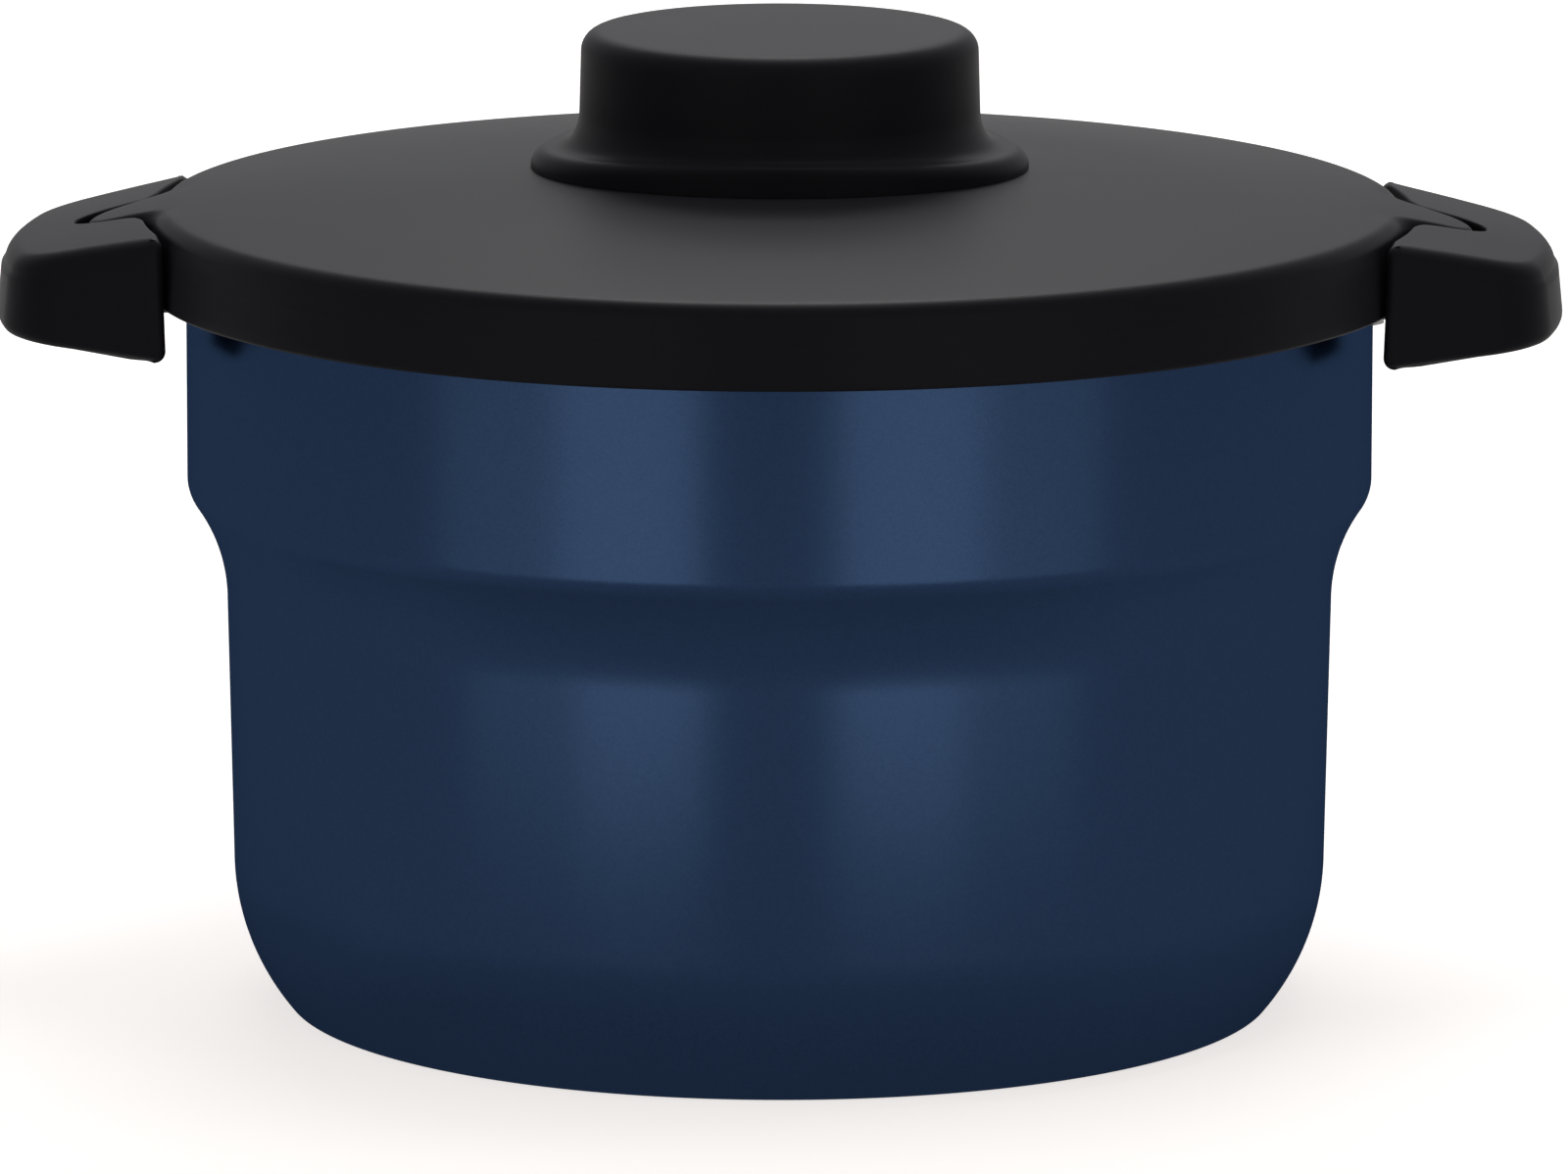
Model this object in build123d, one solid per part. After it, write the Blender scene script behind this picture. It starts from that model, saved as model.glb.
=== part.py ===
from build123d import *
import os
from math import atan2, cos, degrees, pi, radians, sin, sqrt, tan

# Thermal cooker: a vacuum-walled outer vessel, a cooking pot with its own glass lid that
# stands inside it, and a foam-filled outer lid whose two ears drop into the handles.
# Millimetres. The origin is on the floor under the vessel's centre, +Z is up, +X runs
# through the right handle and -Y is the front. Profiles are drawn as (radius, height).

# Small gaps and overruns shared by every piece
seat_gap = 0.3
weld_gap = 0.1
cut_overrun = 5.0

# Outer shell of the vessel, from the floor up
shell_wall = 1.0
shell_upper_radius = 114.0
step_depth = 7.1
foot_taper = 0.8
base_inset = 7.6
base_edge_round = 2.5
rest_ring_width = 10.5
foot_round_height = 26.0
waist_wall_height = 49.0
step_rise = 24.5
upper_wall_height = 41.5
shoulder_rise = 6.0
shoulder_inset = 4.2
step_turn_share = 0.29

shell_waist_radius = shell_upper_radius - step_depth
shell_foot_radius = shell_waist_radius - foot_taper
shell_base_radius = shell_foot_radius - base_inset
rest_ring_inner_radius = shell_base_radius - rest_ring_width
foot_top = foot_round_height
step_bottom = foot_top + waist_wall_height
step_top = step_bottom + step_rise
shoulder_bottom = step_top + upper_wall_height
mouth_top = shoulder_bottom + shoulder_rise

# Bottom plate, the cap over its evacuation hole, and the vacuum space above it
plate_wall = 1.0
plate_flange_width = 6.0
plate_dish_rise = 3.0
plate_dish_slope_width = 4.0
evacuation_hole_radius = 2.5
cap_radius = 8.0
cap_thickness = 1.6
floor_vacuum = 7.2

# Steel liner, with a wide upper part for the pot's grips
liner_wall = 0.8
waist_vacuum = 4.8
upper_vacuum = 3.6
liner_floor_round = 14.0
liner_step_drop = 43.0
liner_step_rise = 20.0
foil_thickness = 0.3
foil_gap = 0.25
foil_margin = 3.0
getter_radius = 7.0
getter_thickness = 3.0
getter_offset = 34.0

liner_outer_radius = shell_foot_radius - shell_wall - waist_vacuum
liner_radius = liner_outer_radius - liner_wall
liner_upper_outer_radius = shell_upper_radius - shell_wall - upper_vacuum
liner_upper_radius = liner_upper_outer_radius - liner_wall
plate_dish_top = shell_wall + plate_dish_rise + plate_wall
liner_bottom = plate_dish_top + floor_vacuum
liner_floor = liner_bottom + liner_wall
liner_step_top = mouth_top - liner_step_drop
liner_step_bottom = liner_step_top - liner_step_rise

# Plastic collar that caps the welded mouth
collar_wall = 2.3
collar_top_thickness = 1.8
collar_skirt = 7.8
collar_round = 1.6

collar_inner_wall_radius = shell_upper_radius + seat_gap
collar_outer_radius = collar_inner_wall_radius + collar_wall
collar_underside = mouth_top + seat_gap
collar_top = collar_underside + collar_top_thickness
collar_bottom = collar_top - collar_skirt

# Outer lid cover: a shallow dome over a drafted skirt
cover_wall = 2.6
skirt_collar_gap = 5.5
skirt_draft = 1.2
skirt_height = 17.1
skirt_overlap = 8.9
dome_rise = 6.9
rim_round = 4.0
skirt_edge_round = 0.8

skirt_radius = collar_outer_radius + skirt_collar_gap
skirt_bottom = collar_top - skirt_overlap
rim_height = skirt_bottom + skirt_height
rim_radius = skirt_radius - skirt_draft
crown_height = rim_height + dome_rise
dome_radius = (rim_radius ** 2 + dome_rise ** 2) / (2 * dome_rise)

# Ears that carry the dome's slope out into the handles
ear_reach = 11.6
ear_nose_radius = 8.0
ear_nose_turn = 70.0
ear_root_depth = 9.0
ear_root_sink = 0.4
ear_root_half_width = 17.0
ear_drop = 7.0
ear_thickness = 3.5
ear_tip_gap = 2.4
ear_side_gap = 1.0
ear_edge_round = 0.9
ear_tip = skirt_radius + ear_reach
ear_tip_top = rim_height - ear_drop
ear_underside = ear_tip_top - ear_thickness

# Moulded handles, hollow from below
handle_gap = 0.6
handle_length = 28.8
handle_root_half_width = 36.0
handle_tip_half_width = 28.5
handle_tip_bulge = 2.3
handle_corner_radius = 20.0
handle_height = 24.3
handle_top_above_ear = 3.1
handle_top_fall = 7.6
handle_top_sag = 1.0
handle_bottom_rise = 3.6
handle_draft = 5.0
handle_wall = 2.8
handle_top_round = 5.0
handle_bottom_round = 2.2
handle_root_round = 1.2

handle_inner_radius = skirt_radius + handle_gap
handle_tip = handle_inner_radius + handle_length
handle_root = sqrt(handle_inner_radius ** 2 - handle_root_half_width ** 2)
handle_top = ear_tip_top + handle_top_above_ear
handle_bottom = handle_top - handle_height
pocket_floor = ear_underside - seat_gap

# Steel brackets welded to the shell under the lid's skirt, and the screws into the handles
bracket_thickness = 2.0
bracket_flange_height = 6.6
bracket_side_margin = 6.5
bracket_end_margin = 8.5
bracket_corner_radius = 8.0
screw_half_spacing = 17.5
screw_inset = 8.8
screw_shank_radius = 1.9
screw_head_radius = 3.8
screw_head_height = 2.4
screw_depth = 7.0
screw_clearance = 0.3
boss_radius = 4.4

bracket_top = skirt_bottom - 2 * seat_gap
shelf_underside = bracket_top - bracket_thickness
bracket_radius = shell_upper_radius + weld_gap
screw_radius = handle_inner_radius + screw_inset
bracket_end = screw_radius + bracket_end_margin
bracket_half_width = screw_half_spacing + bracket_side_margin

# Cooking pot, standing on the liner's floor
pot_wall = 1.0
pot_side_gap = 3.5
pot_rim_drop = 23.0
pot_floor_round = 10.0
pot_lip_width = 2.6
pot_lip_height = 3.0
base_disc_thickness = 4.4
base_disc_inset = 2.0
base_disc_round = 2.0

pot_radius = liner_radius - pot_side_gap
pot_inner_radius = pot_radius - pot_wall
base_disc_bottom = liner_floor + seat_gap
base_disc_top = base_disc_bottom + base_disc_thickness
pot_bottom = base_disc_top + weld_gap
pot_top = mouth_top - pot_rim_drop
pot_lip_radius = pot_radius + pot_lip_width

# Pot grips: moulded bars held above the rim by bent steel straps
strap_thickness = 1.5
strap_foot_height = 10.0
strap_lip_drop = 4.0
strap_lip_gap = 2.4
strap_slope_height = 7.0
strap_half_angle = 17.0
strap_window_half_angle = 11.5
strap_slot_depth = 4.5
grip_half_angle = 22.0
grip_thickness = 5.6
grip_height = 9.0
grip_lift = 9.0
grip_round = 1.8

strap_foot_radius = pot_radius + weld_gap
strap_radius = pot_lip_radius + strap_lip_gap
strap_foot_top = pot_top - pot_lip_height - strap_lip_drop
strap_bottom = strap_foot_top - strap_foot_height
grip_bottom = pot_top + grip_lift
grip_top = grip_bottom + grip_height
grip_radius = strap_radius + strap_thickness / 2 - grip_thickness / 2

# Glass pot lid in its steel rim, with a low knob and a steam eyelet
glass_thickness = 3.2
glass_edge_gap = 0.2
glass_rise = 5.6
glass_seat_width = 7.0
rim_wall = 0.7
rim_flange_width = 5.5
rim_inset = 0.6
rim_corner_round = 0.5
pot_knob_radius = 17.0
pot_knob_waist_radius = 11.0
pot_knob_height = 12.6
pot_knob_round = 2.0
pot_screw_radius = 2.0
pot_screw_head_radius = 5.0
pot_screw_head_height = 2.0
pot_screw_depth = 8.0
washer_radius = 7.5
washer_thickness = 1.0
eyelet_radius = 3.4
eyelet_bore_radius = 2.4
eyelet_flange_radius = 6.0
eyelet_flange_thickness = 0.7
eyelet_offset = 52.0

pot_rim_radius = pot_lip_radius - rim_inset
pot_rim_bottom = pot_top + seat_gap
glass_edge_bottom = pot_rim_bottom + rim_wall + glass_edge_gap
glass_edge_top = glass_edge_bottom + glass_thickness
pot_rim_top = glass_edge_top + glass_edge_gap + rim_wall
glass_radius = pot_rim_radius - rim_wall - glass_edge_gap
glass_dome_radius = glass_radius - glass_seat_width
glass_underside = glass_edge_bottom + glass_rise
glass_top = glass_underside + glass_thickness
pot_knob_bottom = glass_top + weld_gap
pot_knob_top = pot_knob_bottom + pot_knob_height

# Inner side of the outer lid: plate, foam and seal
seal_height = 2.0
seal_width = 4.6
seal_lip = 1.2
lid_plate_wall = 2.0
lid_plate_rim_gap = 0.6
lid_plate_rim_wall = 2.0
lid_dish_gap = 6.5
grip_lid_gap = 3.0
lid_plate_slope_width = 2.0
lid_plate_gap = 3.2
knob_recess_side_gap = 11.0
knob_recess_top_gap = 2.9

seal_bottom = collar_top + seat_gap
seal_top = seal_bottom + seal_height
lid_plate_radius = rim_radius - cover_wall - lid_plate_gap
lid_dish_radius = liner_upper_radius - lid_dish_gap
lid_dish_bottom = grip_top + grip_lid_gap
knob_recess_radius = pot_knob_radius + knob_recess_side_gap
knob_recess_underside = pot_knob_top + knob_recess_top_gap

# Lid knob: a broad drum on an oval plinth
knob_height = 25.8
knob_top_radius = 37.8
knob_draft = 0.7
knob_top_round = 4.5
knob_crown_rise = 0.9
knob_flare = 11.0
knob_flare_edge = 0.6
plinth_side_reach = 9.5
plinth_front_reach = 3.6
plinth_height = 5.0
plinth_side_drop = 4.0
knob_wall = 3.0
knob_boss_radius = 4.5
knob_screw_circle = 25.0
knob_screw_count = 3

knob_top = crown_height + knob_height
knob_foot_radius = knob_top_radius + knob_draft
plinth_half_length = knob_foot_radius + plinth_side_reach
plinth_half_width = knob_foot_radius + plinth_front_reach


def section(*edges):
    """Closes edges into a flat face."""
    return make_face(Curve() + list(edges))


def polygon(*points):
    """A flat face through points, in order."""
    return make_face(Polyline(*points, close=True))


def block(low_radius, high_radius, bottom, top):
    """The section of a plain ring."""
    return polygon(
        (low_radius, bottom),
        (high_radius, bottom),
        (high_radius, top),
        (low_radius, top),
    )


def turned(profile):
    """A solid of revolution about the vertical axis."""
    return revolve(Plane.XZ * profile, Axis.Z)


def disc(radius, bottom, height, x=0, y=0):
    """An upright cylinder that starts at the height bottom."""
    return extrude(Pos(x, y, bottom) * Circle(radius), height)


def rounded(face, radius, *corners):
    """Rounds the corners of a flat face that lie nearest to the given points."""
    picked = []
    for corner in corners:
        target = Vector(*corner)
        picked.append(min(face.vertices(), key=lambda vertex: (Vector(vertex) - target).length))
    return fillet(picked, radius)


def crown_arc(radius, edge_height, centre_height):
    """An arc that is level at the axis and comes down to edge_height at radius."""
    return TangentArc((0, centre_height), (radius, edge_height), tangent=(1, 0))


def step_arcs(low, high):
    """Two arcs that leave low and high upright and meet smoothly in between."""
    turn = Vector(*high) + (Vector(*low) - Vector(*high)) * step_turn_share
    return TangentArc(low, turn, tangent=(0, 1)), TangentArc(high, turn, tangent=(0, -1))


def both_sides(piece):
    """The right-hand piece and its mirror image on the left."""
    return {"right": piece, "left": mirror(piece, Plane.YZ)}


# Vessel


def vessel_outline(inset):
    """The vessel's filled outline, drawn in by inset on every side."""
    upper = shell_upper_radius - inset
    foot = shell_foot_radius - inset
    base = shell_base_radius - inset
    mouth = shell_upper_radius - shoulder_inset - inset
    low_step = (shell_waist_radius - inset, step_bottom)
    high_step = (upper, step_top)
    outline = section(
        Line((0, inset), (base, inset)),
        TangentArc((foot, foot_top), (base, inset), tangent=(0, -1)),
        Line((foot, foot_top), low_step),
        *step_arcs(low_step, high_step),
        Line(high_step, (upper, shoulder_bottom)),
        TangentArc((upper, shoulder_bottom), (mouth, mouth_top - inset), tangent=(0, 1)),
        Line((mouth, mouth_top - inset), (0, mouth_top - inset)),
        Line((0, mouth_top - inset), (0, inset)),
    )
    return rounded(outline, base_edge_round - inset, (base, inset))


def outer_shell():
    """Drawn steel shell, open at the mouth and turned in below to a flat rest ring."""
    sheet = vessel_outline(0) - vessel_outline(shell_wall)
    mouth_radius = liner_upper_outer_radius + weld_gap
    mouth = block(0, mouth_radius, mouth_top - cut_overrun, mouth_top + cut_overrun)
    base = block(0, rest_ring_inner_radius, -cut_overrun, cut_overrun)
    return turned(sheet - mouth - base)


def liner_outline(inset):
    """The liner's filled outline, drawn in by inset, and open past the mouth."""
    low = liner_outer_radius - inset
    high = liner_upper_outer_radius - inset
    bottom = liner_bottom + inset
    low_step = (low, liner_step_bottom)
    high_step = (high, liner_step_top)
    top = mouth_top + min(inset, weld_gap)
    outline = section(
        Line((0, bottom), (low, bottom)),
        Line((low, bottom), low_step),
        *step_arcs(low_step, high_step),
        Line(high_step, (high, top)),
        Line((high, top), (0, top)),
        Line((0, top), (0, bottom)),
    )
    return rounded(outline, liner_floor_round - inset, (low, bottom))


def inner_shell():
    """Drawn steel liner that holds the pot, welded to the outer shell at the mouth."""
    return turned(liner_outline(0) - liner_outline(liner_wall))


def bottom_plate():
    """Dished plate welded on the rest ring, with the evacuation hole at its centre."""
    flange = rest_ring_inner_radius + plate_flange_width
    slope = rest_ring_inner_radius - plate_dish_slope_width
    low = shell_wall + weld_gap
    high = low + plate_dish_rise
    profile = polygon(
        (evacuation_hole_radius, high),
        (slope, high),
        (rest_ring_inner_radius, low),
        (flange, low),
        (flange, low + plate_wall),
        (rest_ring_inner_radius, low + plate_wall),
        (slope, high + plate_wall),
        (evacuation_hole_radius, high + plate_wall),
    )
    return turned(profile)


def vacuum_seal_cap():
    """Disc brazed over the evacuation hole, clear of the floor."""
    top = shell_wall + plate_dish_rise
    return disc(cap_radius, top - cap_thickness, cap_thickness)


def getter():
    """Gas-absorbing pellet held against the underside of the liner."""
    return disc(getter_radius, liner_bottom - weld_gap - getter_thickness, getter_thickness, getter_offset)


def reflector_foil():
    """Foil sleeve round the straight part of the liner, inside the vacuum."""
    inner = liner_outer_radius + foil_gap
    bottom = liner_bottom + liner_floor_round + foil_margin
    return turned(block(inner, inner + foil_thickness, bottom, liner_step_bottom - foil_margin))


def mouth_collar():
    """Plastic ring snapped over the welded mouth, on which the lid's seal rests."""
    inner = liner_upper_radius + seat_gap
    profile = polygon(
        (inner, collar_underside),
        (collar_inner_wall_radius, collar_underside),
        (collar_inner_wall_radius, collar_bottom),
        (collar_outer_radius, collar_bottom),
        (collar_outer_radius, collar_top),
        (inner, collar_top),
    )
    return turned(rounded(profile, collar_round, (collar_outer_radius, collar_top)))


# Brackets, handles and their screws, made on the right


def wedge(half_angle, reach, bottom, top):
    """A sector of the space round the axis, centred on +X."""
    half_width = reach * tan(radians(half_angle))
    plan = polygon((0, 0), (reach, -half_width), (reach, half_width))
    return extrude(Pos(0, 0, bottom) * plan, top - bottom)


def screw_places():
    """Where the two handle screws stand."""
    across = sqrt(screw_radius ** 2 - screw_half_spacing ** 2)
    return [(across, -screw_half_spacing), (across, screw_half_spacing)]


def handle_bracket():
    """Angle of thick sheet: a curved flange on the shell and a level shelf under the handle."""
    flange_bottom = bracket_top - bracket_flange_height
    flange = turned(block(bracket_radius, bracket_radius + bracket_thickness, flange_bottom, bracket_top))
    shelf_plan = polygon(
        (0, -bracket_half_width),
        (bracket_end, -bracket_half_width),
        (bracket_end, bracket_half_width),
        (0, bracket_half_width),
    )
    shelf_plan = rounded(
        shelf_plan,
        bracket_corner_radius,
        (bracket_end, -bracket_half_width),
        (bracket_end, bracket_half_width),
    )
    shelf = extrude(Pos(0, 0, shelf_underside) * shelf_plan, bracket_thickness)
    shelf -= disc(bracket_radius, shelf_underside - cut_overrun, bracket_thickness + 2 * cut_overrun)
    strip = extrude(Pos(0, 0, flange_bottom) * shelf_plan, bracket_flange_height)
    piece = (flange & strip) + shelf
    for x, y in screw_places():
        hole = screw_shank_radius + screw_clearance
        piece -= disc(hole, shelf_underside - cut_overrun, bracket_thickness + 2 * cut_overrun, x, y)
    return piece


def ear_plan(tip_gap, side_gap):
    """The ear seen from above, with its flanks and tip pushed out by the two gaps."""
    nose = ear_nose_radius + side_gap
    centre = ear_tip + tip_gap - nose
    turn = radians(ear_nose_turn)
    flank = (centre + nose * cos(turn), nose * sin(turn))
    root = (skirt_radius - ear_root_depth, ear_root_half_width + side_gap)
    edges = [
        ThreePointArc(
            (flank[0], -flank[1]),
            (ear_tip + tip_gap, 0),
            flank,
        ),
        TangentArc(flank, root, tangent=(-sin(turn), cos(turn))),
        TangentArc((flank[0], -flank[1]), (root[0], -root[1]), tangent=(-sin(turn), -cos(turn))),
        Line((root[0], -root[1]), root),
    ]
    return section(*edges)


def handle_plan(inset):
    """The handle seen from above, running in past the skirt's radius."""
    root = handle_root_half_width - inset
    shoulder = handle_tip - handle_tip_bulge - inset
    half_tip = handle_tip_half_width - inset
    inner = handle_root - cut_overrun
    slope = (root - half_tip) / (shoulder - handle_root)
    inner_half = root + slope * cut_overrun
    outline = section(
        Line((inner, -inner_half), (shoulder, -half_tip)),
        ThreePointArc((shoulder, -half_tip), (handle_tip - inset, 0), (shoulder, half_tip)),
        Line((shoulder, half_tip), (inner, inner_half)),
        Line((inner, inner_half), (inner, -inner_half)),
    )
    return rounded(outline, handle_corner_radius - inset, (shoulder, -half_tip), (shoulder, half_tip))


def handle_side(top_drop, bottom_drop):
    """The handle's side outline: a slightly arched top that falls away from the lid."""
    inner = handle_root - cut_overrun
    outer = handle_tip + cut_overrun
    middle = (inner + outer) / 2
    length = handle_tip - handle_root
    top_slope = handle_top_fall / length
    bottom_slope = handle_bottom_rise / length
    top = handle_top - top_drop
    bottom = handle_bottom - bottom_drop
    inner_top = top + top_slope * cut_overrun
    outer_top = top - top_slope * (length + cut_overrun)
    inner_bottom = bottom - bottom_slope * cut_overrun
    outer_bottom = bottom + bottom_slope * (length + cut_overrun)
    return section(
        ThreePointArc(
            (inner, inner_top),
            (middle, (inner_top + outer_top) / 2 + handle_top_sag),
            (outer, outer_top),
        ),
        Line((outer, outer_top), (outer, outer_bottom)),
        Line((outer, outer_bottom), (inner, inner_bottom)),
        Line((inner, inner_bottom), (inner, inner_top)),
    )


def handle_form(inset, bottom_drop):
    """The handle's drafted outer form, or with an inset the hollow inside it."""
    height = handle_height + 2 * cut_overrun
    base = Pos(0, 0, handle_bottom) * handle_plan(inset)
    upper = extrude(base, height, taper=handle_draft)
    lower = extrude(base, -height)
    half_width = handle_root_half_width + cut_overrun
    side = extrude(Plane.XZ * handle_side(inset, bottom_drop), half_width, both=True)
    form = (upper + lower) & side
    inner_cut = disc(handle_inner_radius + inset, handle_bottom - height, 3 * height)
    return form - inner_cut


def handle():
    """Hollow moulded handle with the lid ear's pocket on top and two screw bosses inside."""
    body = handle_form(0, 0)
    top_low = handle_top - handle_top_fall - handle_wall
    bottom_high = handle_bottom + handle_bottom_rise
    body = fillet([edge for edge in rim_edges(body) if edge.center().Z > top_low], handle_top_round)
    body = fillet([edge for edge in rim_edges(body) if edge.center().Z < bottom_high], handle_bottom_round)
    body = fillet([edge for edge in body.edges() if on_inner_arc(edge)], handle_root_round)

    pocket = extrude(Pos(0, 0, pocket_floor) * ear_plan(ear_tip_gap, ear_side_gap), handle_height)
    pocket_walls = ear_plan(ear_tip_gap + handle_wall, ear_side_gap + handle_wall)
    pocket_shell = extrude(Pos(0, 0, pocket_floor - handle_wall) * pocket_walls, handle_height)
    hollow = handle_form(handle_wall, cut_overrun) - pocket_shell
    for x, y in screw_places():
        hollow -= disc(boss_radius, bracket_top + seat_gap, handle_height, x, y)
    body -= hollow
    body -= pocket
    notch_length = 2 * (handle_inner_radius + 2 * handle_wall)
    notch_plan = Rectangle(notch_length, 2 * (bracket_half_width + 2 * seat_gap))
    notch_bottom = handle_bottom - cut_overrun
    body -= extrude(Pos(0, 0, notch_bottom) * notch_plan, bracket_top + seat_gap - notch_bottom)
    for x, y in screw_places():
        body -= disc(screw_shank_radius + screw_clearance / 2, bracket_top, screw_depth, x, y)
    return body


def rim_edges(body):
    """The handle's edges along its top and bottom, apart from those over the inner arc."""
    return [edge for edge in body.edges() if not is_upright(edge) and not on_inner_arc(edge)]


def is_upright(edge):
    """Whether an edge runs mostly up and down."""
    box = edge.bounding_box().size
    return box.Z > max(box.X, box.Y)


def on_inner_arc(edge):
    """Whether an edge lies on the cylinder that faces the lid's skirt."""
    middle = edge @ 0.5
    return abs(sqrt(middle.X ** 2 + middle.Y ** 2) - handle_inner_radius) < seat_gap


def handle_screws():
    """Two pan-head screws that rise through the bracket into the handle's bosses."""
    screws = []
    head_top = shelf_underside - weld_gap
    length = weld_gap + bracket_thickness + screw_depth - seat_gap
    for x, y in screw_places():
        head = disc(screw_head_radius, head_top - screw_head_height, screw_head_height, x, y)
        screws.append(head + disc(screw_shank_radius, head_top, length, x, y))
    return Compound(children=screws)


# Pot


def pot_outline(inset):
    """The pot's filled outline below its lip."""
    radius = pot_radius - inset
    bottom = pot_bottom + inset
    outline = block(0, radius, bottom, pot_top + min(inset, weld_gap))
    return rounded(outline, pot_floor_round - inset, (radius, bottom))


def pot():
    """Drawn steel pot with a lip turned outwards."""
    lip_bottom = pot_top - pot_lip_height
    lip_edge = pot_top - pot_wall
    lip_section = section(
        Line((pot_inner_radius, lip_bottom), (pot_radius, lip_bottom)),
        TangentArc((pot_radius, lip_bottom), (pot_lip_radius, lip_edge), tangent=(0, 1)),
        Line((pot_lip_radius, lip_edge), (pot_lip_radius, pot_top)),
        Line((pot_lip_radius, pot_top), (pot_radius, pot_top)),
        Line((pot_radius, pot_top), (pot_inner_radius, lip_edge)),
        Line((pot_inner_radius, lip_edge), (pot_inner_radius, lip_bottom)),
    )
    wall = pot_outline(0) - pot_outline(pot_wall)
    wall -= block(0, pot_lip_radius, lip_bottom, pot_top + cut_overrun)
    return turned(wall + lip_section)


def pot_base_disc():
    """Clad heat-spreading disc under the pot, on which the pot stands."""
    radius = pot_radius - pot_floor_round - base_disc_inset
    profile = block(0, radius, base_disc_bottom, base_disc_top)
    return turned(rounded(profile, base_disc_round, (radius, base_disc_bottom)))


def pot_strap():
    """Bent strap: a foot welded to the pot wall and two legs that carry the grip."""
    slope_top = strap_foot_top + strap_slope_height
    top = grip_bottom + strap_slot_depth - seat_gap
    cut_top = top + cut_overrun
    profile = polygon(
        (strap_foot_radius, strap_bottom),
        (strap_foot_radius + strap_thickness, strap_bottom),
        (strap_foot_radius + strap_thickness, strap_foot_top),
        (strap_radius + strap_thickness, slope_top),
        (strap_radius + strap_thickness, top),
        (strap_radius, top),
        (strap_radius, slope_top),
        (strap_foot_radius, strap_foot_top),
    )
    band = turned(profile) & wedge(strap_half_angle, 2 * strap_radius, strap_bottom - cut_overrun, cut_top)
    window = wedge(strap_window_half_angle, 2 * strap_radius, strap_foot_top, cut_top)
    return band - window


def pot_grip():
    """Curved heat-proof bar, rounded all round, with slots for the strap's legs."""
    profile = block(grip_radius, grip_radius + grip_thickness, grip_bottom, grip_top)
    cut_bottom = grip_bottom - cut_overrun
    bar = turned(fillet(profile.vertices(), grip_round))
    bar &= wedge(grip_half_angle, 2 * strap_radius, cut_bottom, grip_top + cut_overrun)
    slot_low = strap_radius - weld_gap
    slot_high = strap_radius + strap_thickness + weld_gap
    slot_half_angle = strap_half_angle + degrees(seat_gap / strap_radius)
    slot = turned(block(slot_low, slot_high, cut_bottom, grip_bottom + strap_slot_depth))
    return bar - (slot & wedge(slot_half_angle, 2 * strap_radius, cut_bottom, grip_top))


# Pot lid


def dome_profile(edge_radius, edge_bottom, centre_bottom, thickness):
    """A shallow domed sheet of even height from the axis out to edge_radius."""
    return section(
        crown_arc(edge_radius, edge_bottom, centre_bottom),
        Line((edge_radius, edge_bottom), (edge_radius, edge_bottom + thickness)),
        crown_arc(edge_radius, edge_bottom + thickness, centre_bottom + thickness),
        Line((0, centre_bottom + thickness), (0, centre_bottom)),
    )


def eyelet_place():
    """Position and tilt of the steam eyelet, square to the glass."""
    share = eyelet_offset / glass_dome_radius
    height = glass_underside - glass_rise * share ** 2
    tilt = degrees(atan2(2 * glass_rise * share, glass_dome_radius))
    return Pos(0, eyelet_offset, height) * Rot(-tilt, 0, 0)


def pot_lid_glass():
    """Tempered glass dome with a flat edge, drilled for the knob screw and the eyelet."""
    dome = dome_profile(glass_dome_radius, glass_edge_bottom, glass_underside, glass_thickness)
    edge = block(glass_dome_radius, glass_radius, glass_edge_bottom, glass_edge_top)
    glass = turned(dome + edge)
    drill = glass_thickness + 2 * cut_overrun
    glass -= disc(pot_screw_radius + screw_clearance, glass_underside - cut_overrun, drill)
    glass -= eyelet_place() * disc(eyelet_radius + weld_gap, -cut_overrun, drill)
    return glass


def pot_lid_rim():
    """Steel band folded round the edge of the glass."""
    inner = pot_rim_radius - rim_flange_width
    profile = polygon(
        (inner, pot_rim_bottom),
        (pot_rim_radius, pot_rim_bottom),
        (pot_rim_radius, pot_rim_top),
        (inner, pot_rim_top),
        (inner, pot_rim_top - rim_wall),
        (pot_rim_radius - rim_wall, pot_rim_top - rim_wall),
        (pot_rim_radius - rim_wall, pot_rim_bottom + rim_wall),
        (inner, pot_rim_bottom + rim_wall),
    )
    corners = (pot_rim_radius, pot_rim_bottom), (pot_rim_radius, pot_rim_top)
    return turned(rounded(profile, rim_corner_round, *corners))


def pot_lid_knob():
    """Low waisted knob with a threaded bore from below."""
    top = pot_knob_top
    waist = pot_knob_bottom + pot_knob_height / 2
    profile = section(
        Line((0, pot_knob_bottom), (pot_knob_waist_radius, pot_knob_bottom)),
        ThreePointArc(
            (pot_knob_waist_radius, pot_knob_bottom),
            (pot_knob_waist_radius + pot_knob_round / 2, waist - pot_knob_round),
            (pot_knob_radius, waist),
        ),
        Line((pot_knob_radius, waist), (pot_knob_radius, top)),
        Line((pot_knob_radius, top), (0, top)),
        Line((0, top), (0, pot_knob_bottom)),
    )
    knob = turned(rounded(profile, pot_knob_round, (pot_knob_radius, top)))
    bore_bottom = pot_knob_bottom - cut_overrun
    return knob - disc(pot_screw_radius + weld_gap, bore_bottom, pot_screw_depth + cut_overrun)


def pot_lid_screw():
    """Screw that holds the knob from under the glass."""
    head_top = glass_underside - washer_thickness - 2 * weld_gap
    head = disc(pot_screw_head_radius, head_top - pot_screw_head_height, pot_screw_head_height)
    shank_top = pot_knob_bottom + pot_screw_depth - seat_gap
    return head + disc(pot_screw_radius, head_top, shank_top - head_top)


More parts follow.
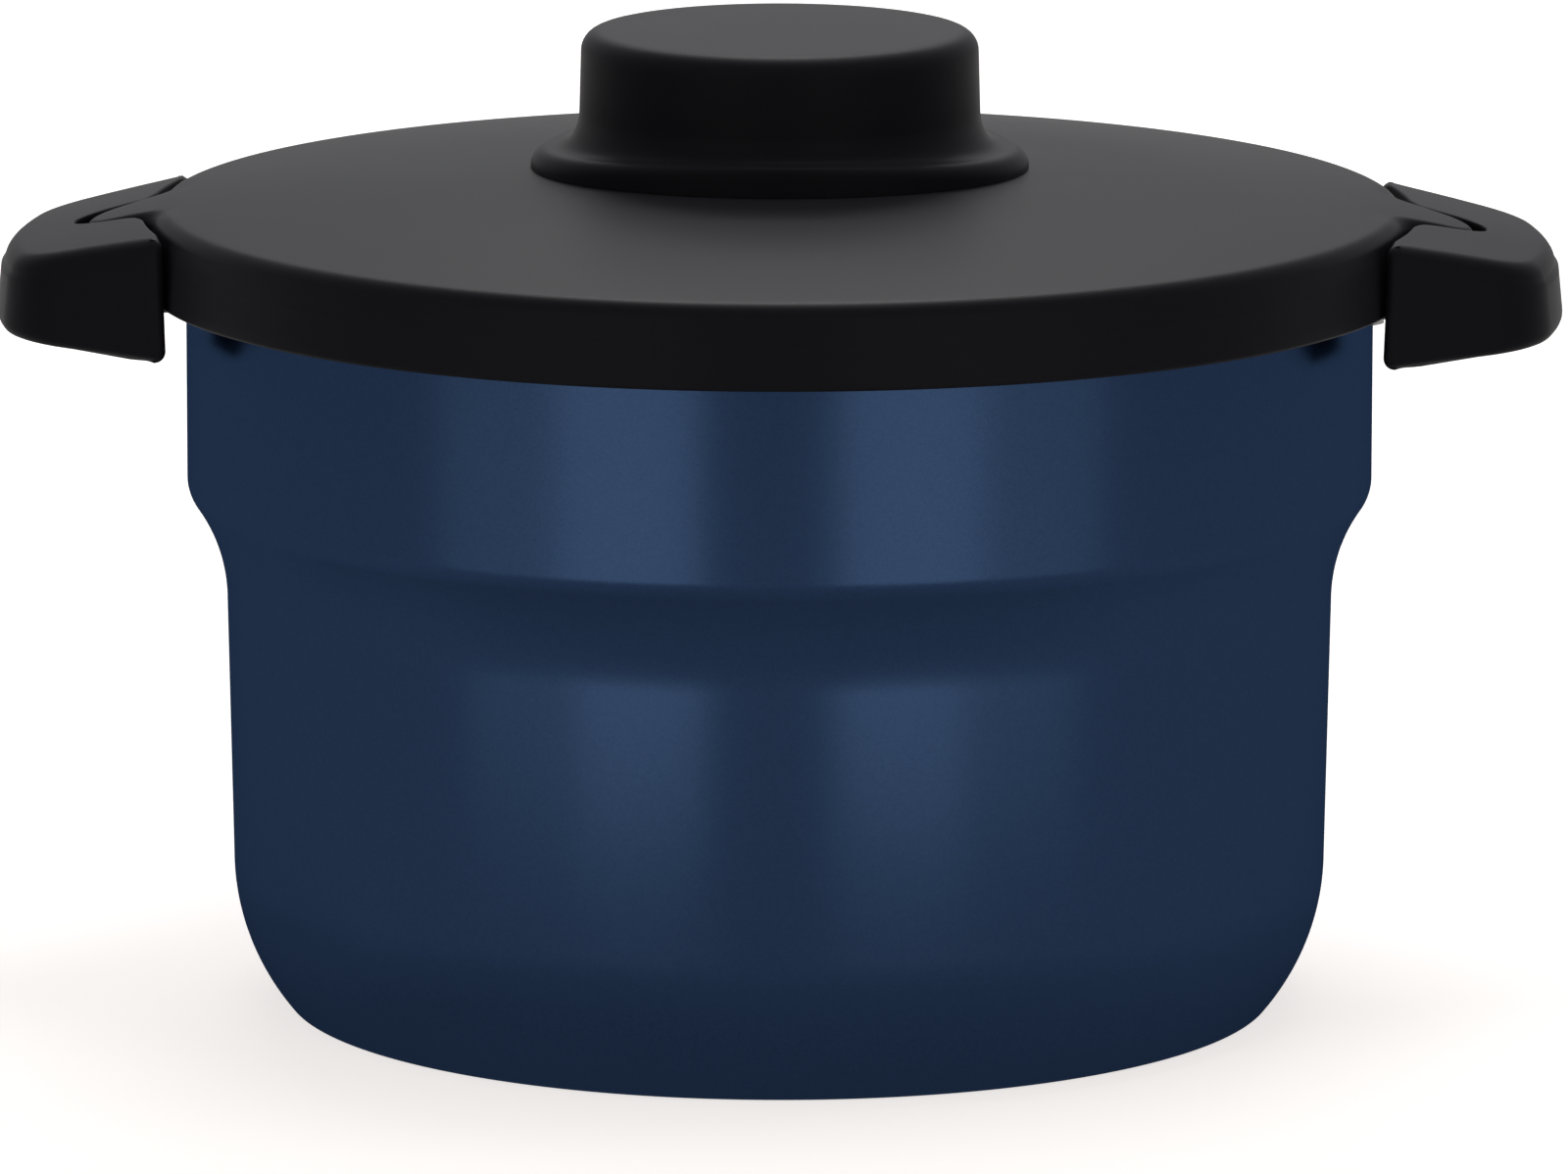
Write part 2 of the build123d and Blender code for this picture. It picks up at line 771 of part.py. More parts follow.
def pot_lid_washer():
    """Silicone washer between the glass and the screw's head."""
    bottom = glass_underside - washer_thickness - weld_gap
    ring = block(pot_screw_radius + weld_gap, washer_radius, bottom, bottom + washer_thickness)
    dish_edge = glass_edge_bottom - weld_gap
    dish = dome_profile(glass_dome_radius, dish_edge, glass_underside - weld_gap, glass_thickness)
    return turned(ring) - turned(dish)


def pot_lid_eyelet():
    """Riveted steel eyelet that lets steam out through the glass."""
    low = -eyelet_flange_thickness - weld_gap
    high = glass_thickness + weld_gap
    profile = polygon(
        (eyelet_bore_radius, low),
        (eyelet_flange_radius, low),
        (eyelet_flange_radius, -weld_gap),
        (eyelet_radius, -weld_gap),
        (eyelet_radius, high),
        (eyelet_flange_radius, high),
        (eyelet_flange_radius, high + eyelet_flange_thickness),
        (eyelet_bore_radius, high + eyelet_flange_thickness),
    )
    return eyelet_place() * turned(profile)


# Outer lid


def lid_outline(inset, bottom):
    """The lid's filled outline, drawn in by inset, and running down to bottom."""
    skirt = skirt_radius - inset
    rim = rim_radius - inset
    rim_top = rim_height - inset
    crown = crown_height - inset
    outline = section(
        Line((0, bottom), (skirt, bottom)),
        Line((skirt, bottom), (rim, rim_top)),
        crown_arc(rim, rim_top, crown),
        Line((0, crown), (0, bottom)),
    )
    return rounded(outline, rim_round - inset, (rim, rim_top))


def dome_top(radius):
    """Height of the dome's outer face at a radius."""
    return crown_height - dome_radius + sqrt(dome_radius ** 2 - radius ** 2)


def ear():
    """Solid ear on the right: the dome's surface bent down into the handle's pocket."""
    start = skirt_radius - ear_root_depth
    start_top = dome_top(start) - ear_root_sink
    slope = -start / sqrt(dome_radius ** 2 - start ** 2)
    side = section(
        TangentArc((start, start_top), (ear_tip, ear_tip_top), tangent=(1, slope)),
        Line((ear_tip, ear_tip_top), (ear_tip, ear_underside)),
        Line((ear_tip, ear_underside), (start, ear_underside)),
        Line((start, ear_underside), (start, start_top)),
    )
    bar = extrude(Plane.XZ * side, 2 * ear_root_half_width, both=True)
    plan = extrude(Pos(0, 0, ear_underside - cut_overrun) * ear_plan(0, 0), 2 * skirt_height)
    lug = bar & plan
    top_edges = [edge for edge in lug.edges() if edge.center().Z > ear_tip_top and not is_upright(edge)]
    outer = [edge for edge in top_edges if (edge @ 0.5).X > skirt_radius - ear_root_depth + weld_gap]
    return fillet(outer, ear_edge_round)


def lid_cover():
    """Moulded dome and skirt with one ear on each side."""
    outside = rounded(lid_outline(0, skirt_bottom), skirt_edge_round, (skirt_radius, skirt_bottom))
    hollow = turned(lid_outline(cover_wall, skirt_bottom - cut_overrun))
    cover = turned(outside)
    for lug in both_sides(ear()).values():
        cover += lug
    cover -= hollow
    drill = dome_rise + 2 * cut_overrun
    for x, y in knob_screw_places():
        cover -= disc(screw_shank_radius + screw_clearance, rim_height - cut_overrun, drill, x, y)
    return cover


def knob_screw_places():
    """The knob's screws, evenly spaced on a circle."""
    places = []
    for index in range(knob_screw_count):
        turn = pi / 2 + 2 * pi * index / knob_screw_count
        places.append((knob_screw_circle * cos(turn), knob_screw_circle * sin(turn)))
    return places


def knob_outline():
    """The drum's filled outline: crowned top, drafted wall and a flare at its foot."""
    flare_radius = knob_foot_radius + knob_flare
    flare_bottom = dome_top(flare_radius) + knob_flare_edge
    flare_top = flare_bottom + knob_flare
    bottom = rim_height
    outline = section(
        Line((0, bottom), (flare_radius, bottom)),
        Line((flare_radius, bottom), (flare_radius, flare_bottom)),
        TangentArc((knob_foot_radius, flare_top), (flare_radius, flare_bottom), tangent=(0, -1)),
        Line((knob_foot_radius, flare_top), (knob_top_radius, knob_top - knob_crown_rise)),
        crown_arc(knob_top_radius, knob_top - knob_crown_rise, knob_top),
        Line((0, knob_top), (0, bottom)),
    )
    return rounded(outline, knob_top_round, (knob_top_radius, knob_top - knob_crown_rise))


def knob_form():
    """The drum and its flare, trimmed to an oval and joined to an arched plinth."""
    oval = extrude(Pos(0, 0, rim_height) * Ellipse(plinth_half_length, plinth_half_width), 2 * knob_height)
    top = crown_height + plinth_height
    reach = plinth_half_length
    arch = section(
        ThreePointArc((-reach, top - plinth_side_drop), (0, top), (reach, top - plinth_side_drop)),
        Line((reach, top - plinth_side_drop), (reach, rim_height)),
        Line((reach, rim_height), (-reach, rim_height)),
        Line((-reach, rim_height), (-reach, top - plinth_side_drop)),
    )
    plinth = oval & extrude(Plane.XZ * arch, reach, both=True)
    return (turned(knob_outline()) & oval) + plinth


def dome_block():
    """Everything under the dome's outer face."""
    wide = plinth_half_length + cut_overrun
    low = rim_height - cut_overrun
    return turned(
        section(
            Line((0, low), (wide, low)),
            Line((wide, low), (wide, dome_top(wide) + weld_gap)),
            crown_arc(wide, dome_top(wide) + weld_gap, crown_height + weld_gap),
            Line((0, crown_height + weld_gap), (0, low)),
        )
    )


def lid_knob():
    """Hollow drum on its plinth, with bosses for the screws that rise through the cover."""
    form = knob_form() - dome_block()
    hollow_radius = knob_top_radius - knob_wall
    hollow_bottom = rim_height - cut_overrun
    hollow = disc(hollow_radius, hollow_bottom, knob_top - knob_wall - knob_crown_rise - hollow_bottom)
    for x, y in knob_screw_places():
        hollow -= disc(knob_boss_radius, hollow_bottom, knob_top - hollow_bottom, x, y)
    form -= hollow
    bore_depth = crown_height + screw_depth - hollow_bottom
    for x, y in knob_screw_places():
        form -= disc(screw_shank_radius + weld_gap, hollow_bottom, bore_depth, x, y)
    return form


def screw_seat(x, y):
    """Height of the cover's underside at one of the knob's screws."""
    return dome_top(sqrt(x ** 2 + y ** 2)) - cover_wall


def lid_knob_screws():
    """Screws that hold the knob from under the cover."""
    screws = []
    for x, y in knob_screw_places():
        head_top = screw_seat(x, y) - seat_gap
        head = disc(screw_head_radius, head_top - screw_head_height, screw_head_height, x, y)
        length = crown_height + screw_depth - seat_gap - head_top
        screws.append(head + disc(screw_shank_radius, head_top, length, x, y))
    return Compound(children=screws)


def lid_inner_plate():
    """Moulded plate that closes the lid below, dished over the pot lid's knob."""
    wall = lid_plate_wall
    flange = seal_top + weld_gap
    recess = knob_recess_underside
    slope = lid_plate_slope_width
    rim_inner = lid_plate_radius - lid_plate_rim_wall
    rim_top = dome_top(lid_plate_radius) - cover_wall - lid_plate_rim_gap
    profile = polygon(
        (0, recess),
        (knob_recess_radius - slope, recess),
        (knob_recess_radius, lid_dish_bottom),
        (lid_dish_radius - slope, lid_dish_bottom),
        (lid_dish_radius, flange),
        (lid_plate_radius, flange),
        (lid_plate_radius, rim_top),
        (rim_inner, rim_top),
        (rim_inner, flange + wall),
        (lid_dish_radius - wall, flange + wall),
        (lid_dish_radius - slope - wall, lid_dish_bottom + wall),
        (knob_recess_radius + wall, lid_dish_bottom + wall),
        (knob_recess_radius - slope + wall, recess + wall),
        (0, recess + wall),
    )
    return turned(profile)


def lid_insulation():
    """Foam disc that fills the lid between the plate and the cover."""
    bottom = lid_dish_bottom + lid_plate_wall + seat_gap
    radius = lid_dish_radius - lid_plate_slope_width - lid_plate_wall - seat_gap
    recess_top = knob_recess_underside + lid_plate_wall + seat_gap
    recess_radius = knob_recess_radius + lid_plate_wall + seat_gap
    under = cover_wall + 2 * seat_gap
    profile = section(
        Line((0, recess_top), (recess_radius, recess_top)),
        Line((recess_radius, recess_top), (recess_radius, bottom)),
        Line((recess_radius, bottom), (radius, bottom)),
        Line((radius, bottom), (radius, dome_top(radius) - under)),
        crown_arc(radius, dome_top(radius) - under, crown_height - under),
        Line((0, crown_height - under), (0, recess_top)),
    )
    foam = turned(profile)
    for x, y in knob_screw_places():
        head_bottom = screw_seat(x, y) - seat_gap - screw_head_height
        foam -= disc(screw_head_radius + seat_gap, head_bottom - seat_gap, skirt_height, x, y)
    return foam


def lid_seal():
    """Silicone ring under the plate's flange, with a thin lip that meets the collar."""
    outer = lid_plate_radius - lid_plate_rim_wall
    inner = outer - seal_width
    profile = polygon(
        (inner, seal_bottom + seal_lip),
        (inner + seal_lip, seal_bottom),
        (outer, seal_bottom),
        (outer, seal_top),
        (inner, seal_top),
    )
    return turned(profile)


pieces = {
    "outer_shell": outer_shell(),
    "inner_shell": inner_shell(),
    "bottom_plate": bottom_plate(),
    "vacuum_seal_cap": vacuum_seal_cap(),
    "getter": getter(),
    "reflector_foil": reflector_foil(),
    "mouth_collar": mouth_collar(),
    "pot": pot(),
    "pot_base_disc": pot_base_disc(),
    "pot_lid_glass": pot_lid_glass(),
    "pot_lid_rim": pot_lid_rim(),
    "pot_lid_knob": pot_lid_knob(),
    "pot_lid_screw": pot_lid_screw(),
    "pot_lid_washer": pot_lid_washer(),
    "pot_lid_eyelet": pot_lid_eyelet(),
    "lid_cover": lid_cover(),
    "lid_knob": lid_knob(),
    "lid_knob_screws": lid_knob_screws(),
    "lid_inner_plate": lid_inner_plate(),
    "lid_insulation": lid_insulation(),
    "lid_seal": lid_seal(),
}
paired = {
    "handle_bracket": handle_bracket(),
    "handle": handle(),
    "handle_screws": handle_screws(),
    "pot_strap": pot_strap(),
    "pot_grip": pot_grip(),
}
for name, piece in paired.items():
    for side, placed in both_sides(piece).items():
        pieces[name + "_" + side] = placed

os.makedirs("parts", exist_ok=True)
for name, piece in pieces.items():
    export_step(piece, "parts/" + name + ".step")
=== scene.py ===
"""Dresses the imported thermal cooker: painted vessel, moulded lid, knob and handles, screws, finishes and stage."""

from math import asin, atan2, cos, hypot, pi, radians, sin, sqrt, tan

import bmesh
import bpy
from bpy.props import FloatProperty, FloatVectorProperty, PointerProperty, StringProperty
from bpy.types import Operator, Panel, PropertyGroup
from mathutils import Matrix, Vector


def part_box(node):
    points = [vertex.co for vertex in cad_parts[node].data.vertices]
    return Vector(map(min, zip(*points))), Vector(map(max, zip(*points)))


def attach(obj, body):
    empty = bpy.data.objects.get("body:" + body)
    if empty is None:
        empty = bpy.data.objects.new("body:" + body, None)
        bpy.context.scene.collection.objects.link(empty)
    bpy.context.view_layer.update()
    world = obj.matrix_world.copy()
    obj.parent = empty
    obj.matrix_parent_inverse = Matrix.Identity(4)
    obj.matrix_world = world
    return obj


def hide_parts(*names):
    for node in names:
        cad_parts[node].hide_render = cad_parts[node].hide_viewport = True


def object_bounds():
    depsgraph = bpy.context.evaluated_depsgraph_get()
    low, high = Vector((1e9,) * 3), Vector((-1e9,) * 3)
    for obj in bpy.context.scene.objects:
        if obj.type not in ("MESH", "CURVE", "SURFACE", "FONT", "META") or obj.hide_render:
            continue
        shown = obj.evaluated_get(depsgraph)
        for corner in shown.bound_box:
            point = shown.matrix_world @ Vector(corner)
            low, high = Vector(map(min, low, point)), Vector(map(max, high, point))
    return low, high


bl_info = {
    "name": "Thermal cooker",
    "version": (1, 0, 0),
    "blender": (4, 5, 0),
    "location": "3D View > Sidebar > Cooker",
    "description": "Makes the finished surfaces of a thermal cooker round its construction, and its stage",
    "category": "Object",
}

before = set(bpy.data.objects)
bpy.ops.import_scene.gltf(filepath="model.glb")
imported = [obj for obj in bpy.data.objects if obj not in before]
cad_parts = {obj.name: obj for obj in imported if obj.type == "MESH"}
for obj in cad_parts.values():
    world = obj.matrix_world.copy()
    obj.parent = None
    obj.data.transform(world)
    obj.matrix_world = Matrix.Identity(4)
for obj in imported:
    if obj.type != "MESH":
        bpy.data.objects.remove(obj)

MM = 0.001

# The construction's own box, and the pieces that the new surfaces stand for
cad_low, cad_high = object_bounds()
shell_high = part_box("outer_shell")[1]
liner_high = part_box("inner_shell")[1]
lid_low, lid_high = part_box("lid_cover")
knob_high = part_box("lid_knob")[1]
handle_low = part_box("handle_right")[0]
bracket_low, bracket_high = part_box("handle_bracket_right")

# How finely round shapes are divided, how close points are welded, and the bend above which an edge is sharp
FINE_ARC = 10
LATHE_SEGMENTS = 288
SCREW_SEGMENTS = 32
WELD = 0.001 * MM
SHARP_BEND = radians(42)
# Gap between pieces that are set on one another
SET_GAP = 0.1 * MM
# The right side, and the left one that mirrors it
SIDES = {"right": 1, "left": -1}

# Part of the shell's step that its lower, tighter arc takes
STEP_SPLIT = 0.17

# How much wider the lid's skirt is than the construction's
SKIRT_GAIN = 0.058 * MM
# How late the ear falls: 1 is a straight ramp, and more keeps it level for longer
EAR_FALL_POWER = 1.4
# Half angle in which the ear shapes the lid's edge, and the angles over which its fall fades out
EAR_REACH = radians(14)
EAR_FADE = (radians(5), radians(12))
# The lid is divided in fine steps at the ears and in wide ones between them
EAR_STEP = radians(0.15)
EAR_STEPS = 80
OPEN_STEPS = 72
# Turn over which the direction of the lid's edge is measured
EDGE_STEP = radians(0.02)
# Growth of the edge over which the rim's round turns into the ear's
ROUND_FADE = 4 * MM
# The dome's even rings, and how far inside the start of the ear they end
DOME_RINGS = 20
DOME_MARGIN = 5 * MM
# Round under the ear's edge
EAR_UNDER_ROUND = 0.6 * MM

# Height of the knob's flare over the dome
FLARE_LIFT = 0.6 * MM

# How far the handle's tip stays inside the part's box
TIP_MARGIN = 0.05 * MM
# The notch for the bracket: its gaps, and half the turn in which its side steps up
NOTCH_SIDE_GAP = 0.6 * MM
NOTCH_TOP_GAP = 0.3 * MM
NOTCH_STEP = radians(0.005)
# The ear's pocket: the half angle that is divided finely for it, and the gap under the ear
POCKET_REACH = radians(9.5)
POCKET_FLOOR_GAP = 0.3 * MM
# Growth of the lid's edge over which the skirt's gap turns into the ear's, and angles over which the tip's does
POCKET_FADE = 3 * MM
POCKET_TIP = (radians(0.5), radians(3.4))
# Distances from the root over which the round of the top edge changes, outside and beside the lid
ROOT_FADE = (1.0 * MM, 9.0 * MM)
LIP_FADE = 7 * MM
# How much narrower the handle's hollow is at its roof
HOLLOW_TAPER = 0.8 * MM
# Steps of the outer outline: half of the soft root corner, the flank, the outer corner and half of the end
ROOT_STEPS = 6
FLANK_STEPS = 18
CORNER_STEPS = 30
END_STEPS = 20
# Steps beside the lid: from the root to the notch, and inside the notch as far as the pocket
SIDE_STEPS = 9
NOTCH_STEPS = 5

# The screws, and the part of a head's height that is domed
HEAD_RADIUS = 3.8 * MM
HEAD_HEIGHT = 2.4 * MM
HEAD_CROWN = 0.45
# The cross recess, as shares of the head's radius and of its height
CROSS_ARM = 0.55
CROSS_WIDTH = 0.2
CROSS_DEPTH = 0.5
# The shank has rings in place of a thread, as (share of its radius, share of the pitch), and a blunt point
SHANK_RADIUS = 1.9 * MM
RING_PITCH = 1.4 * MM
RINGS = ((0.82, 0.25), (1.0, 0.6))
POINT_SHARE = 0.75
POINT_LENGTH = 0.2 * MM


def length(name, value, description):
    """A size that a user may change, written in millimetres."""
    return FloatProperty(
        name=name, description=description, default=value * MM, unit="LENGTH", subtype="DISTANCE", precision=5
    )


def angle(name, value, description):
    """An angle that a user may change, written in degrees."""
    return FloatProperty(name=name, description=description, default=radians(value), unit="ROTATION", subtype="ANGLE")


def power(name, value, description):
    """The power of a lamp, in watts."""
    return FloatProperty(name=name, description=description, default=value, unit="POWER")


def spot(name, value, description):
    """A place on the stage, in metres."""
    return FloatVectorProperty(name=name, description=description, default=value, subtype="XYZ")


def finish_colour(name, value, description):
    """A colour that a user may change, written as sRGB hex."""
    return StringProperty(name=name, description=description, default=value)


class VesselSizes(PropertyGroup):
    """Outline of the painted shell."""

    paint_gain: length("Paint gain", 0.5, "How far the upper body stands out from the construction")
    step_depth: length("Step depth", 7.6, "How far the waist is drawn in below the upper body")
    foot_taper: length("Foot taper", 1.0, "How much narrower the waist is at the foot")
    base_inset: length("Base inset", 10.6, "How far the foot turns in at the floor")
    base_round: length("Base round", 1.5, "Round between the foot and the floor")
    rest_ring: length("Rest ring", 88.0, "Inner radius of the ring that the vessel stands on")
    foot_height: length("Foot height", 28.7, "Height where the foot starts to turn in")
    waist_top: length("Waist top", 78.8, "Height where the step starts")
    step_top: length("Step top", 103.0, "Height where the step ends")
    shoulder: length("Shoulder", 141.0, "Height where the shell turns in to the mouth")
    shoulder_inset: length("Shoulder inset", 4.7, "How far the mouth is narrower than the upper body")
    wall: length("Wall", 1.0, "Thickness of the drawn steel")


class LidSizes(PropertyGroup):
    """Outline of the moulded outer lid."""

    dome_rise: length("Dome rise", 8.5, "Height of the dome over its rim")
    skirt_draft: length("Skirt draft", 1.2, "How much wider the skirt is at its foot")
    rim_round: length("Rim round", 2.9, "Round between the dome and the skirt")
    foot_drop: length("Foot drop", 0.35, "How far the skirt reaches below the construction's")
    foot_round: length("Foot round", 0.8, "Round of the skirt's lower edge")
    wall: length("Wall", 2.6, "Thickness of the moulding")
    ear_nose: length("Ear nose", 8.0, "Radius of the ear's tip seen from above")
    ear_turn: angle("Ear turn", 70.0, "How far the ear's tip turns before its flank starts")
    ear_root: length("Ear root", 17.0, "Half width of the ear where it leaves the dome")
    ear_start: length("Ear start", 9.0, "How far inside the skirt the ear starts to fall")
    ear_drop: length("Ear drop", 4.2, "How far the ear's tip lies below the rim")
    ear_depth: length("Ear depth", 3.5, "Thickness of the ear at its tip")
    ear_blend: length("Ear blend", 5.5, "Size of the hollow blend between the ear and the skirt")
    ear_round: length("Ear round", 1.3, "Round along the ear's upper edge")


class KnobSizes(PropertyGroup):
    """Outline of the knob and its oval plinth."""

    top_radius: length("Top radius", 38.3, "Radius of the drum's top")
    draft: length("Draft", 0.3, "How much wider the drum is at its foot")
    top_round: length("Top round", 4.0, "Round of the drum's top edge")
    crown: length("Crown", 0.6, "Rise of the drum's top")
    flare: length("Flare", 11.0, "Radius of the hollow flare at the drum's foot")
    plinth_height: length("Plinth height", 5.0, "Height of the plinth over the dome at the front")
    plinth_fall: length("Plinth fall", 2.8, "How far the plinth falls towards the ears")
    plinth_round: length("Plinth round", 1.3, "Round of the plinth's edge at the front and back")
    plinth_end_round: length("Plinth end round", 3.4, "Round of the plinth's edge towards the ears")
    plinth_blend: length("Plinth blend", 2.4, "Softness of the corner between flare and plinth")


class HandleSizes(PropertyGroup):
    """Outline of the moulded side handles and their brackets."""

    root_half: length("Root half width", 43.5, "Half width beside the lid")
    tip_half: length("Tip half width", 33.8, "Half width at the outer corners")
    tip_bulge: length("Tip bulge", 5.4, "How far the end bows out")
    corner: length("Corner radius", 16.5, "Radius of the outer corners seen from above")
    top: length("Top height", 154.8, "Height of the top's edge beside the lid")
    top_fall: length("Top fall", 8.2, "How far the top falls towards the tip")
    top_sag: length("Top arch", 0.3, "How far the top bows up along the handle")
    crown: length("Crown", 1.1, "How far the top bows up across the handle")
    bottom_lift: length("Bottom lift", 1.3, "How far the lower edge lies above the construction's")
    bottom_rise: length("Bottom rise", 3.1, "How far the underside rises towards the tip")
    draft: angle("Draft", 5.5, "Draft of the outer wall")
    wall: length("Wall", 2.8, "Thickness of the moulding")
    top_round: length("Top round", 3.1, "Round of the outer top edge beside the lid")
    tip_round: length("Tip round", 3.0, "Round of the top edge at the tip")
    bottom_round: length("Bottom round", 2.2, "Round of the lower edge")
    root_corner: length("Root corner", 4.2, "Length of the soft corner between the flank and the lid's side")
    root_round: length("Root round", 2.5, "Round of the corner beside the lid")
    lip_round: length("Lip round", 0.7, "Round of the edge that faces the lid and its ear")
    skirt_gap: length("Skirt gap", 1.8, "Gap to the lid's rim")
    ear_gap: length("Ear gap", 1.0, "Gap to the ear's flanks")
    tip_gap: length("Tip gap", 2.4, "Gap past the ear's tip")
    sheet: length("Bracket sheet", 2.0, "Thickness of the steel bracket under the handle")
    flange_trim: length("Flange trim", 3.4, "How far the flange's lower edge rises towards its ends")
    shelf_corner: length("Shelf corner", 8.0, "Radius of the bracket's outer corners")


class FinishColours(PropertyGroup):
    """Colours of the cooker's finishes, as sRGB hex."""

    paint: finish_colour("Paint", "#1C2B42", "Navy pearl paint of the vessel")
    plastic: finish_colour("Plastic", "#1C1C20", "Black polypropylene of lid and handles")
    inner_plastic: finish_colour("Inner plastic", "#4A4C50", "Grey polypropylene inside the lid")
    steel: finish_colour("Steel", "#C9C8C5", "Brushed stainless steel")


class StageSettings(PropertyGroup):
    """Camera and lamps."""

    lens: FloatProperty(name="Lens", description="Focal length", default=313.4, unit="CAMERA")
    camera_place: spot("Camera", (0.0705, -2.599, 0.573), "Where the camera stands")
    camera_aim: spot("Aim", (0.0009, 0.0, 0.0803), "Point in the middle of the image")
    roll: angle("Roll", 0.06, "How far the image leans to the right")
    shine_power: power("Shine lamps", 0.127, "Power of each lamp that shines in the paint")
    back_power: power("Back lamp", 11.0, "Power of the rear softbox")
    sheen_power: power("Sheen lamp", 20.0, "Power of the lamp that shines in the lid")
    top_power: power("Top lamp", 4.4, "Power of the overhead softbox")
    world: FloatProperty(name="World", description="Strength of the even light from all sides", default=0.2)


# Numbers and outlines


def spaced(low, high, steps):
    """Numbers from low to high in even steps, both ends included."""
    return [low + (high - low) * step / steps for step in range(steps + 1)]


def shares(steps):
    """Even shares of a run, without 0 and up to 1."""
    return spaced(0.0, 1.0, steps)[1:]


def leans(steps):
    """Even angles of a quarter turn, without 0."""
    return spaced(0.0, pi / 2, steps)[1:]


def smooth_step(low, high, value):
    """0 below low, 1 above high and an even ease in between."""
    share = min(max((value - low) / (high - low), 0.0), 1.0)
    return share * share * (3 - 2 * share)


def smooth_max(first, second, width):
    """The larger of two numbers, with a soft change over a width."""
    near = max(width - abs(first - second), 0.0)
    return max(first, second) + near * near / (4 * width)


def heading_of(turn):
    """The direction at a turn, seen from above."""
    return Vector((cos(turn), sin(turn)))


def swing(start, end, steps=FINE_ARC):
    """Points of the arc that leaves start upright and reaches end, both as (radius, height)."""
    across, rise = end[0] - start[0], end[1] - start[1]
    radius = (across * across + rise * rise) / (2 * abs(across))
    side = 1 if across > 0 else -1
    up = 1 if rise > 0 else -1
    reach = asin(min(abs(rise) / radius, 1.0))
    if abs(across) > radius:
        reach = pi - reach
    centre = start[0] + side * radius
    turns = spaced(0.0, reach, steps)
    return [(centre - side * radius * cos(turn), start[1] + up * radius * sin(turn)) for turn in turns]


def on_circle(centre, radius, turn):
    """The point of a circle at a turn."""
    return centre[0] + radius * cos(turn), centre[1] + radius * sin(turn)


def arc(centre, radius, start, end, steps=FINE_ARC):
    """Points of an arc round a centre between two angles."""
    return [on_circle(centre, radius, turn) for turn in spaced(start, end, steps)]


# Meshes


def weld_grid(solid, rows, closed=True):
    """Adds a grid of points to a bmesh as quads. A closed row joins its last point to its first."""
    ranks = [[solid.verts.new(point) for point in row] for row in rows]
    count = len(rows[0])
    for upper, lower in zip(ranks, ranks[1:]):
        for place in range(count if closed else count - 1):
            other = (place + 1) % count
            solid.faces.new((upper[place], lower[place], lower[other], upper[other]))


def mesh_of(name, solid):
    """Turns a bmesh into a mesh."""
    mesh = bpy.data.meshes.new(name)
    solid.to_mesh(mesh)
    solid.free()
    return mesh


def placed(name, data):
    """Puts a mesh, lamp or camera into the scene."""
    made = bpy.data.objects.new(name, data)
    bpy.context.scene.collection.objects.link(made)
    return made


def smooth_piece(name, mesh):
    """Puts a mesh into the scene with smooth faces and sharp edges."""
    mesh.shade_smooth()
    mesh.set_sharp_from_angle(angle=SHARP_BEND)
    return placed(name, mesh)


def finished(name, solid, material, body, slot, *replaced):
    """Welds a bmesh into a smooth piece, gives it its finish and lets it ride on its body."""
    bmesh.ops.remove_doubles(solid, verts=solid.verts, dist=WELD)
    bmesh.ops.dissolve_degenerate(solid, edges=solid.edges, dist=WELD)
    mesh = mesh_of(name, solid)
    mesh.materials.append(finish_named(material))
    joined(smooth_piece(name, mesh), body, slot, *replaced)


def joined(piece, body, slot, *replaced):
    """Lets a piece ride on its body's empty and hides the construction pieces that it stands for."""
    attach(piece, body)
    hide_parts(*replaced)


# Node trees


def node(tree, kind, inputs=(), **settings):
    """Adds a node and its settings, and links or fills its inputs. A given node stands for its first output."""
    made = tree.nodes.new(kind)
    for key, value in settings.items():
        setattr(made, key, value)
    for key, value in dict(inputs).items():
        if isinstance(value, bpy.types.Node):
            value = value.outputs[0]
        if isinstance(value, bpy.types.NodeSocket):
            tree.links.new(value, made.inputs[key])
        else:
            made.inputs[key].default_value = value
    return made


def cleared(owner):
    """The emptied shader tree of a material or a world."""
    owner.use_nodes = True
    owner.node_tree.nodes.clear()
    return owner.node_tree


def started(name, output, **inputs):
    """A geometry tree with named sockets, and the outputs of the node that hands its inputs in."""
    tree = bpy.data.node_groups.new(name, "GeometryNodeTree")
    for key, kind in inputs.items():
        tree.interface.new_socket(key.replace("_", " "), in_out="INPUT", socket_type="NodeSocket" + kind)
    tree.interface.new_socket(output, in_out="OUTPUT", socket_type="NodeSocketGeometry")
    return tree, node(tree, "NodeGroupInput").outputs


def ended(tree, given, geometry, output):
    """Makes a tree's geometry real, gives it its finish and hands it out."""
    real = node(tree, "GeometryNodeRealizeInstances", {"Geometry": geometry})
    coated = node(tree, "GeometryNodeSetMaterial", {"Geometry": real, "Material": given["Finish"]})
    node(tree, "NodeGroupOutput", {output: coated})
    return tree


def lathe_tree():
    """Turns a closed profile, drawn as (radius less turning radius, -height), about the upright axis."""
    tree, given = started(
        "Turn profile", "Turned", Profile="Geometry", Turning_radius="Float", Segments="Int", Finish="Material"
    )
    outline = node(tree, "GeometryNodeMeshToCurve", {"Mesh": given["Profile"]})
    circle = {"Resolution": given["Segments"], "Radius": given["Turning radius"]}
    turn = node(tree, "GeometryNodeCurvePrimitiveCircle", circle)
    swept = node(tree, "GeometryNodeCurveToMesh", {"Curve": turn, "Profile Curve": outline})
    welded = node(tree, "GeometryNodeMergeByDistance", {"Geometry": swept, "Distance": WELD})
    return ended(tree, given, welded, "Turned")


